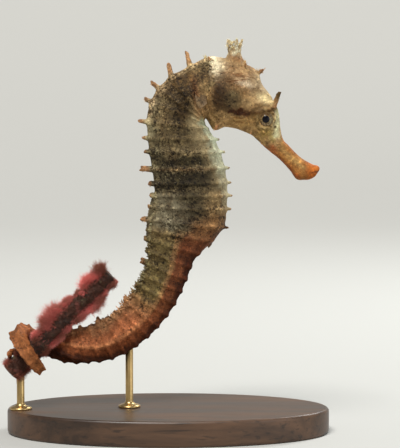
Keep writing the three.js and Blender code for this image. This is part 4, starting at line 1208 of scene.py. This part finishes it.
def stem_radius(along, around):
    flat = stem_place(along, around, np.full(along.shape, STEM_RADIUS)).reshape(-1, 3)
    lumps = 0.24 * ripple(flat, 5.0, 51) + 0.20 * ripple(flat, 2.0, 52) + 0.14 * ripple(flat, 0.8, 53, 24)
    held = step(-along.ravel(), -3.0, -0.5)  # worn smooth where the tail holds it
    slim = 1.95 + 0.25 * np.sin((along.ravel() - 4) / 5.5)
    return (slim * (1 - held) + STEM_RADIUS * 0.96 * held + lumps * (1 - 0.7 * held)).reshape(along.shape)


A, R = np.meshgrid(stem_along, stem_around, indexing="ij")
core_grid = stem_place(A, R, stem_radius(A, R))
CUT_RINGS = (0.3, 0.6, 0.85, 0.96)
low_cut, top_cut = ([stem_place(A[end], R[end], stem_radius(A[end], R[end]) * k) for k in CUT_RINGS]
                    for end in (slice(0, 1), slice(-1, None)))
core = new_object("stem_core", tube_mesh("stem_core", np.concatenate(low_cut + [core_grid] + top_cut[::-1])))
with_normals_out(core)


def stem_material():
    look = Look("crusted_stem")
    broad = look.noise(look.where, 2.4, 5, 0.6, 0.5)
    small = look.noise(look.where, 0.45, 6, 0.7)
    colour = look.mix(look.ramp(broad, 0.42, 0.58), (0.024, 0.011, 0.007, 1), (0.076, 0.028, 0.017, 1))
    pink = look.noise(look.where, 3.4, 4, 0.6, 0.8, 0.02)
    colour = look.mix(look.ramp(pink, 0.58, 0.70), colour, (0.160, 0.036, 0.028, 1))
    olive = look.noise(look.where, 1.3, 5, 0.6, 0.3, 0.04)
    colour = look.mix(look.ramp(olive, 0.56, 0.70), colour, (0.100, 0.080, 0.038, 1))
    grainy = look.mix(look.ramp(small, 0.3, 0.7), (0.40, 0.38, 0.36, 1), (1.7, 1.7, 1.7, 1))
    colour = look.mix(0.9, colour, grainy, "MULTIPLY")
    granules = look.cells(look.where, 0.5, "SMOOTH_F1")["Distance"]
    height = look.plus(look.times(granules, -0.8), small)
    return look.finish(colour, look.ramp(small, 0.3, 0.7, 0.75, 0.98), (0.85, 0.35, height))


core.data.materials.append(stem_material())
print("stem faces:", len(core.data.polygons))


# %% Tufts of strands
def tuft_growth(label, numbers, segments, sides):
    """Points with way, reach, thick and spread become tufts: strands that fan out from one root and droop a little."""
    tree = Growth(label, numbers)
    given = tree.given
    strands = tree.add("GeometryNodeDuplicateElements", {"Geometry": given[0], "Amount": given["Strands"]},
                       domain="POINT")
    scatter = tree.add("FunctionNodeRandomValue", {"Min": (-1, -1, -1), "Max": (1, 1, 1), "Seed": given["Seed"]},
                       data_type="FLOAT_VECTOR")
    aim = tree.vector("ADD", tree.named("way", "FLOAT_VECTOR"), tree.vector("SCALE", scatter, tree.named("spread")))
    # The strand is drawn as slender as it will be, in units of its thickness, so that it stays round when scaled.
    line, share = tree.bent_line(tree.xyz(Z=given["Slender"]), segments + 1, given["Droop"], (7.0, 0.8))
    line = tree.add("GeometryNodeStoreNamedAttribute", {"Geometry": line, "Name": "height", "Value": share},
                    data_type="FLOAT", domain="POINT")
    taper = tree.add("ShaderNodeMapRange", {"Value": tree.math("POWER", share, 2.0), "To Min": 1.0,
                                            "To Max": given["Tip"]})
    reach = tree.times(tree.named("reach"), tree.chance(0.5, 1.15, 8))
    thick = tree.times(tree.named("thick"), tree.chance(0.8, 1.2, 12))
    return tree.finish(strands, tree.tube(line, sides, taper), aim, tree.chance(0, 6.28, 4),
                       tree.xyz(X=thick, Y=thick, Z=tree.math("DIVIDE", reach, given["Slender"])))


def grown_tufts(name, label, cloud, segments, sides, patch=0.003, **numbers):
    """The cloud's tufts as one mesh. In its OFBake map every tuft is a small patch, at its root's place on the unwrap
    of what it grows from."""
    item = tuft_growth(label, numbers, segments, sides).grow(name, cloud)
    mesh = item.data
    count = len(mesh.vertices)
    root, height, corner = np.empty(count * 3), np.empty(count), np.empty(len(mesh.loops), dtype=int)
    mesh.attributes["root_uv"].data.foreach_get("vector", root)
    mesh.attributes["height"].data.foreach_get("value", height)
    mesh.loops.foreach_get("vertex_index", corner)
    spot = root.reshape(-1, 3)[:, :2].copy()
    spot[:, 0] += (np.arange(count) % 3 / 3 - 0.5) * patch
    spot[:, 1] += (height - 0.5) * patch
    mesh.uv_layers.new(name="OFBake").data.foreach_set("uv", spot[corner].ravel())
    return item


# %% Fuzz material
def fuzz_material():
    look = Look("pink_fuzz", {"Specular IOR Level": 0.15})
    height = look.attribute("height")
    blush = look.attribute("blush")
    mottle = look.noise(look.where, 1.6, 4, 0.6)
    # Where the blush is low the strands are darker and browner: the dusty top of the stem, and painted shade at its
    # foot.
    deep = look.mix(blush, (0.150, 0.034, 0.024, 1), (0.700, 0.072, 0.062, 1))
    pale = look.mix(blush, (0.360, 0.130, 0.085, 1), (0.980, 0.330, 0.290, 1))
    colour = look.mix(height, deep, pale)
    colour = look.mix(look.ramp(mottle, 0.52, 0.70, 0.0, 0.7), colour, (0.200, 0.110, 0.055, 1))
    dusky = look.mix(height, (0.022, 0.010, 0.006, 1), (0.125, 0.052, 0.034, 1))
    colour = look.mix(look.ramp(blush, -1.0, 0.0), dusky, colour)
    return look.finish(colour, look.ramp(mottle, 0.3, 0.7, 0.7, 0.95))


fuzz_look = fuzz_material()

# %% Fuzz on the stem
body_tree = point_tree(body_grid[::2, ::4].reshape(-1, 3))


def fuzz_bed(name, seed, low, high_end, dusky=False):
    """Tufts on the stem between two lengths, in beds or, short and dusky, between them, clear of the tail."""
    dice = np.random.default_rng(seed)
    along = dice.uniform(low, high_end, BED_TUFTS * 4)
    around = dice.uniform(0, 2 * math.pi, BED_TUFTS * 4)
    roots = stem_place(along, around, stem_radius(along[:, None], around[:, None])[:, 0] - 0.05)
    clear = np.array([body_tree.find(place)[2] for place in roots])
    beds = 1.1 * np.abs(np.cos(around)) ** 3 + 0.32 * ripple(roots, 3.4, 61) - 0.14
    chosen = dice.uniform(0.0, 0.95, len(along)) < (0.85 - 1.1 * beds if dusky else beds)
    keep = np.flatnonzero(chosen & (clear > 0.75))[:BED_TUFTS]
    out = stem_place(along * 0, around, np.ones(len(along))) - STEM_CROSSING
    ways = unit(out + STEM_ALONG * 0.3 + dice.normal(0, 0.22, out.shape))
    crest = 1.3 * np.clip(np.cos(around), 0, 1) * (near(along, 5.5, 4.5) + near(along, 20.0, 3.5))
    length = np.clip(0.35 + 1.0 * beds + 1.0 * ripple(roots, 3.4, 63) + crest, 0.30, 3.3)
    length = length * dice.uniform(0.6, 1.2, len(along))
    # The pink fades at both ends of the stem: at the top to its dusty tint, and at the foot, round and below the grip,
    # as painted shade.
    blush = np.clip(0.66 * soft_band(along, 1.5, 22, 3) + 0.55 * ripple(roots, 3.6, 62), 0, 1)
    if dusky:
        length, blush = dice.uniform(0.25, 0.75, len(along)), -1 + 0.35 * np.clip(ripple(roots, 2.0, 64), 0, 1)
    unwrap = np.stack([around / (2 * math.pi), (along + STEM_BELOW) / (STEM_ABOVE + STEM_BELOW), along * 0], axis=1)
    cloud = point_cloud(name + "_points", roots[keep], way=ways[keep], spread=np.full(len(keep), 0.9),
                        reach=np.minimum(length, clear * 0.9)[keep], thick=dice.uniform(0.022, 0.036, len(keep)),
                        blush=blush[keep], root_uv=(0.01 + 0.98 * unwrap)[keep])
    return grown_tufts(name, "Tufts of " + name, cloud, 3, 3, Strands=5, Slender=32.0, Droop=9.0, Tip=0.45, Seed=seed,
                       Finish=fuzz_look)


fuzz_beds = [fuzz_bed("fuzz_lowest", 17, -STEM_BELOW + 0.2, 6.0),
             fuzz_bed("fuzz_low", 18, 4.5, 12.5),
             fuzz_bed("fuzz_high", 19, 11.5, 18.5),
             fuzz_bed("fuzz_highest", 20, 17.5, STEM_ABOVE - 0.1),
             fuzz_bed("dusky_fuzz", 21, -STEM_BELOW + 0.1, STEM_ABOVE - 0.1, True)]
print("fuzz faces:", [len(bed.data.polygons) for bed in fuzz_beds])

# %% [markdown]
# ## Threads on the animal
# Older seahorses of this kind grow soft skin threads, and bits of weed settle on their spines and crown. They are
# short here: two tufts on a tall spine, more on the coronet, and a row of fleshy tags along the back of the tail.
# They grow in the same way as the stem's fuzz, and take the colour of the skin that they grow from.

# %% Thread material
def thread_material():
    look = Look("skin_thread")
    mottle = look.noise(look.where, 0.7, 4, 0.6)
    tone = look.mix(look.ramp(mottle, 0.3, 0.7), (0.75, 0.72, 0.68, 1), (1.7, 1.7, 1.6, 1))
    colour = look.mix(1.0, look.attribute("tint", "Vector"), tone, "MULTIPLY")
    return look.finish(colour, look.ramp(mottle, 0.3, 0.7, 0.5, 0.8))


thread_look = thread_material()

# %% Skin threads
dice = np.random.default_rng(23)
threads_at = []  # (root, way, reach, thickness, spread)
for foot, way, reach, girth in spines:
    on_coronet = foot[2] > 88.5 and 12 < foot[0] < 19
    count = 9 if on_coronet else 2 if reach > 1.6 else int(dice.random() < 0.3 and reach > 0.6)
    for _ in range(count):
        at = foot + way * reach * dice.uniform(0.45, 0.97) + dice.normal(0, girth * 0.2, 3)
        threads_at.append((at, way + dice.normal(0, 0.45, 3), dice.uniform(0.25, 0.60) * (1 + 0.35 * on_coronet),
                           0.055, 0.5))
for x_at, z_at in [(8.6, 88.4), (17.6, 87.0), (21.0, 84.6)]:
    for _ in range(3):
        at = np.array([x_at + dice.normal(0, 0.3), dice.normal(0, 0.5), z_at])
        threads_at.append((at, np.array([-0.1, 0, 1]) + dice.normal(0, 0.3, 3), dice.uniform(0.5, 1.1), 0.08, 0.6))
# Small fleshy tags along the back of the tail.
for s in np.arange(NAPE + 37, NAPE + 72, 0.34):
    here = body.at_one(s)
    for flip in (1, -1):
        across = flip * dice.uniform(0.1, 0.8) * here["half_width"]
        at = here["middle"] + here["side"] * across + here["up"] * here["half_depth"] * 0.95
        way = here["up"] + here["side"] * flip * 0.5 + dice.normal(0, 0.3, 3)
        reach = dice.uniform(0.35, 1.0) * (0.9 + 1.5 * near(s - NAPE, 58, 8))
        threads_at.append((at, way, reach, 0.115, 0.5))

roots, ways, reaches, thicks, spreads = (np.array(column) for column in zip(*threads_at))
skin_tree = point_tree(places)
root_vertex = np.array([skin_tree.find(place)[1] for place in roots])
# The unwrap: body in the lower seven tenths of the map, head above it.
BODY_TOP = 0.69
unwrap_u = np.where(on_head, head_column / head_grid.shape[1], skin_turn / 8)
unwrap_v = np.where(on_head, BODY_TOP + 0.02 + (0.98 - BODY_TOP - 0.02) * head_row / head_grid.shape[0],
                    0.01 + (BODY_TOP - 0.01) * np.clip(skin_s / (body.lengths[-1] - NAPE), 0, 1))
root_uv = np.stack([0.01 + 0.98 * unwrap_u, unwrap_v, unwrap_u * 0], axis=1)[root_vertex]
cloud = point_cloud("thread_points", places[root_vertex], way=unit(ways), reach=reaches, thick=thicks, spread=spreads,
                    root_uv=root_uv, tint=np.clip(paint[root_vertex] * [1.5, 1.6, 1.6], [0.16, 0.12, 0.06], 0.62))
threads = grown_tufts("skin_threads", "Skin threads", cloud, 5, 6, Strands=3, Slender=8.0, Droop=2.4, Tip=0.7, Seed=8,
                      Finish=thread_look)
print("threads:", len(threads_at), "faces", len(threads.data.polygons))

# %% [markdown]
# ## The stand
# A museum stand should not draw the eye: a dark oval of wood with an eased edge, and two brass rods with small feet,
# one up to the tail's underside and one to the stem. All three are turned shapes, so each is one profile swept round.

# %% Base and rods
def turned(name, profile, centre, stretch=(1.0, 1.0), columns=96):
    """A closed turned solid from (radius, height) pairs, the radius stretched in x and y."""
    around = np.arange(columns) / columns * 2 * math.pi
    grid = np.array([[(centre[0] + r * stretch[0] * math.cos(a), centre[1] + r * stretch[1] * math.sin(a), h)
                      for a in around] for r, h in profile])
    made = new_object(name, tube_mesh(name, grid))
    with_normals_out(made)
    return made


def eased(reach, height, ease, steps=6):
    """The profile of a slab with rounded edges."""
    bends = np.linspace(0, math.pi / 2, steps)
    low = [(reach - ease + ease * math.sin(b), ease - ease * math.cos(b)) for b in bends]
    top = [(reach - ease + ease * math.cos(b), height - ease + ease * math.sin(b)) for b in bends]
    inner = [float(r) for r in np.linspace(2, reach - ease - 0.3, 8)]
    return [(0.5, 0)] + [(r, 0) for r in inner] + low + top + [(r, height) for r in inner[::-1]] + [(0.5, height)]


BASE_HALF, BASE_THICK, ROD, FOOT = (38.0, 21.0), 6.0, 0.9, 2.6


def rod_profile(top):
    """A rod on a small turned foot."""
    foot = [(0.3, 0), (FOOT * 0.6, 0), (FOOT - 0.1, 0), (FOOT, 0.1), (FOOT, 0.4), (FOOT * 0.8, 0.62), (ROD * 1.5, 0.85),
            (ROD * 1.08, 1.2), (ROD, 1.6)]
    return [(r, BASE_THICK + h) for r, h in foot] + [(ROD, top - 0.1), (ROD - 0.1, top), (0.3, top)]


base_profile = eased(BASE_HALF[0], BASE_THICK, 0.9)
base = turned("wooden_base", base_profile, (0, 0), (1.0, BASE_HALF[1] / BASE_HALF[0]), 160)
rods = [(turned("brass_rod_tail", rod_profile(22.4), (-9.2, 0), columns=48), "stand_rod_tail"),
        (turned("brass_rod_stem", rod_profile(15.2), (-34.6, STEM_Y), columns=48), "stand_rod_perch")]


def wood_material():
    look = Look("dark_walnut")
    long_grain = look.add("ShaderNodeMapping", {"Vector": look.where, "Scale": (0.10, 1.0, 1.0)})
    rings = look.noise(long_grain, 5.0, 6, 0.62, 1.2)
    longer_grain = look.add("ShaderNodeMapping", {"Vector": look.where, "Scale": (0.05, 1.0, 1.0)})
    pores = look.noise(longer_grain, 0.45, 3, 0.6)
    colour = look.mix(look.ramp(rings, 0.36, 0.64), (0.030, 0.015, 0.008, 1), (0.105, 0.052, 0.026, 1))
    colour = look.mix(look.ramp(pores, 0.56, 0.68, 0.0, 0.7), colour, (0.014, 0.008, 0.005, 1))
    return look.finish(colour, look.ramp(rings, 0.3, 0.7, 0.34, 0.46), (0.2, 0.1, pores))


def brass_material():
    look = Look("brushed_brass", {"Metallic": 1.0})
    drawn = look.add("ShaderNodeMapping", {"Vector": look.where, "Scale": (1.0, 1.0, 0.08)})
    brushed = look.noise(drawn, 0.25, 4, 0.6)
    tarnish = look.noise(look.where, 3.0, 4, 0.6)
    colour = look.mix(look.ramp(tarnish, 0.40, 0.70), (0.62, 0.43, 0.19, 1), (0.36, 0.24, 0.10, 1))
    return look.finish(colour, look.ramp(brushed, 0.3, 0.7, 0.26, 0.42), (0.15, 0.03, brushed))


base.data.materials.append(wood_material())
brass_look = brass_material()
for rod, _ in rods:
    rod.data.materials.append(brass_look)
print("base and rods:", base.name, [r.name for r, _ in rods])

# %% [markdown]
# ## Put the pieces on the frame
# Each finished mesh goes from millimetres to metres, rides on the one body of the still model, and takes the place
# of the CAD nodes that it stands for.

# %% Scale, ride and replace
FLESH = ["head", "snout", "coronet", "neck", "trunk_upper", "trunk_lower", "tail_root", "tail_bend", "tail_reach",
         "tail_grip_back", "tail_grip_front", "tail_tip"]
pieces = [(skin, FLESH, "trunk_skin"), (threads, [], "coronet_skin"), (core, ["perch_stem"], "stem"),
          (base, ["stand_base"], "stand_wood")]
pieces += [(bed, [], "stem") for bed in fuzz_beds]
pieces += [(web, [node], "fin") for web, node, _ in fins]
pieces += [(eye, [node], "eye") for eye, node in eyes]
pieces += [(rod, [node], "stand_brass") for rod, node in rods]
for piece, nodes, slot in pieces:
    piece.data.transform(Matrix.Scale(MM, 4))
    piece.data.shade_smooth()
    if nodes:
        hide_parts(*nodes)
    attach(piece, "root")
for sharp in (base, core):
    sharp.data.set_sharp_from_angle(angle=math.radians(50))
print("triangles:", {p.name: sum(len(f.vertices) - 2 for f in p.data.polygons) for p, *_ in pieces})

# %% [markdown]
# ## Floor, light and camera
# The model stands on a plain pale floor that rises softly all round, so that no edge shows behind it from any side.
# One large soft lamp above and in front shapes the rings as daylight from above would, a weaker one fills from the
# right, and a third behind gives the thin bright edge that parts the animal from the ground.

# %% Stage
FLAT_REACH, BOWL_REACH, BOWL_RISE, FLOOR_COLUMNS = 0.7, 2.6, 1.1, 96
floor_rings = [0.02, 0.2, 0.45, FLAT_REACH] + [float(r) for r in np.linspace(FLAT_REACH, BOWL_REACH, 24)[1:]]
floor_turn = np.arange(FLOOR_COLUMNS) / FLOOR_COLUMNS * 2 * math.pi
floor_rise = [BOWL_RISE * max(0, (r - FLAT_REACH) / (BOWL_REACH - FLAT_REACH)) ** 2 for r in floor_rings]
floor_grid = np.array([[(r * math.cos(a), r * math.sin(a), rise) for a in floor_turn]
                       for r, rise in zip(floor_rings, floor_rise)])
floor_faces = [f for f in grid_faces(*floor_grid.shape[:2]) if max(f) < len(floor_rings) * FLOOR_COLUMNS]
floor_mesh = bpy.data.meshes.new("floor")
floor_mesh.from_pydata(floor_grid.reshape(-1, 3).tolist(), [], floor_faces + [list(range(FLOOR_COLUMNS))[::-1]])
floor_mesh.shade_smooth()
floor = new_object("floor", floor_mesh)
floor_look = Look("pale_floor", {"Base Color": (0.52, 0.52, 0.50, 1), "Roughness": 0.95, "Specular IOR Level": 0.1})
floor.data.materials.append(floor_look.material)

world = bpy.data.worlds.new("soft_room")
scene.world = world
world.use_nodes = True
background = world.node_tree.nodes["Background"]
background.inputs["Color"].default_value = (0.95, 0.95, 0.93, 1)
background.inputs["Strength"].default_value = 0.28

AIM = Vector((7.5, 0, 49.35)) * MM


def lamp(name, kind, place, energy, size, colour):
    """A lamp that shines at the model from a place: size is an area lamp's side, or a sun's spread in degrees."""
    light = bpy.data.lights.new(name, kind)
    light.energy, light.color = energy, colour
    if kind == "SUN":
        light.angle = math.radians(size)
    else:
        light.size = size
    holder = new_object(name, light)
    holder.location = place
    holder.rotation_mode = "QUATERNION"
    holder.rotation_quaternion = (AIM - Vector(place)).to_track_quat("-Z", "Y")


lamp("key", "SUN", (-0.10, -0.34, 0.60), 3.15, 24, (1.0, 0.985, 0.95))
lamp("fill", "AREA", (0.50, -0.34, 0.20), 0.7, 0.35, (0.92, 0.97, 1.0))
lamp("rim", "AREA", (0.30, 0.30, 0.42), 1.7, 0.16, (0.97, 1.0, 1.0))

# %% Camera
# The view is level with the animal's middle, four degrees above the horizon.
VIEW_HEIGHT = 448 * 0.235  # mm at the animal
DISTANCE, ELEVATION, SENSOR = 450.0, math.radians(4), 36
camera_data = bpy.data.cameras.new("camera")
camera = new_object("camera", camera_data)
scene.camera = camera
camera_data.sensor_width = SENSOR
camera_data.lens = SENSOR * DISTANCE / VIEW_HEIGHT
camera_data.clip_start, camera_data.clip_end = 0.01, 20
behind = Vector((0, -math.cos(ELEVATION), math.sin(ELEVATION)))
camera.location = AIM + behind * DISTANCE * MM
camera.rotation_mode = "QUATERNION"
camera.rotation_quaternion = (-behind).to_track_quat("-Z", "Y")
scene.view_settings.view_transform = "Standard"
print("lens:", round(camera_data.lens, 1), "mm")
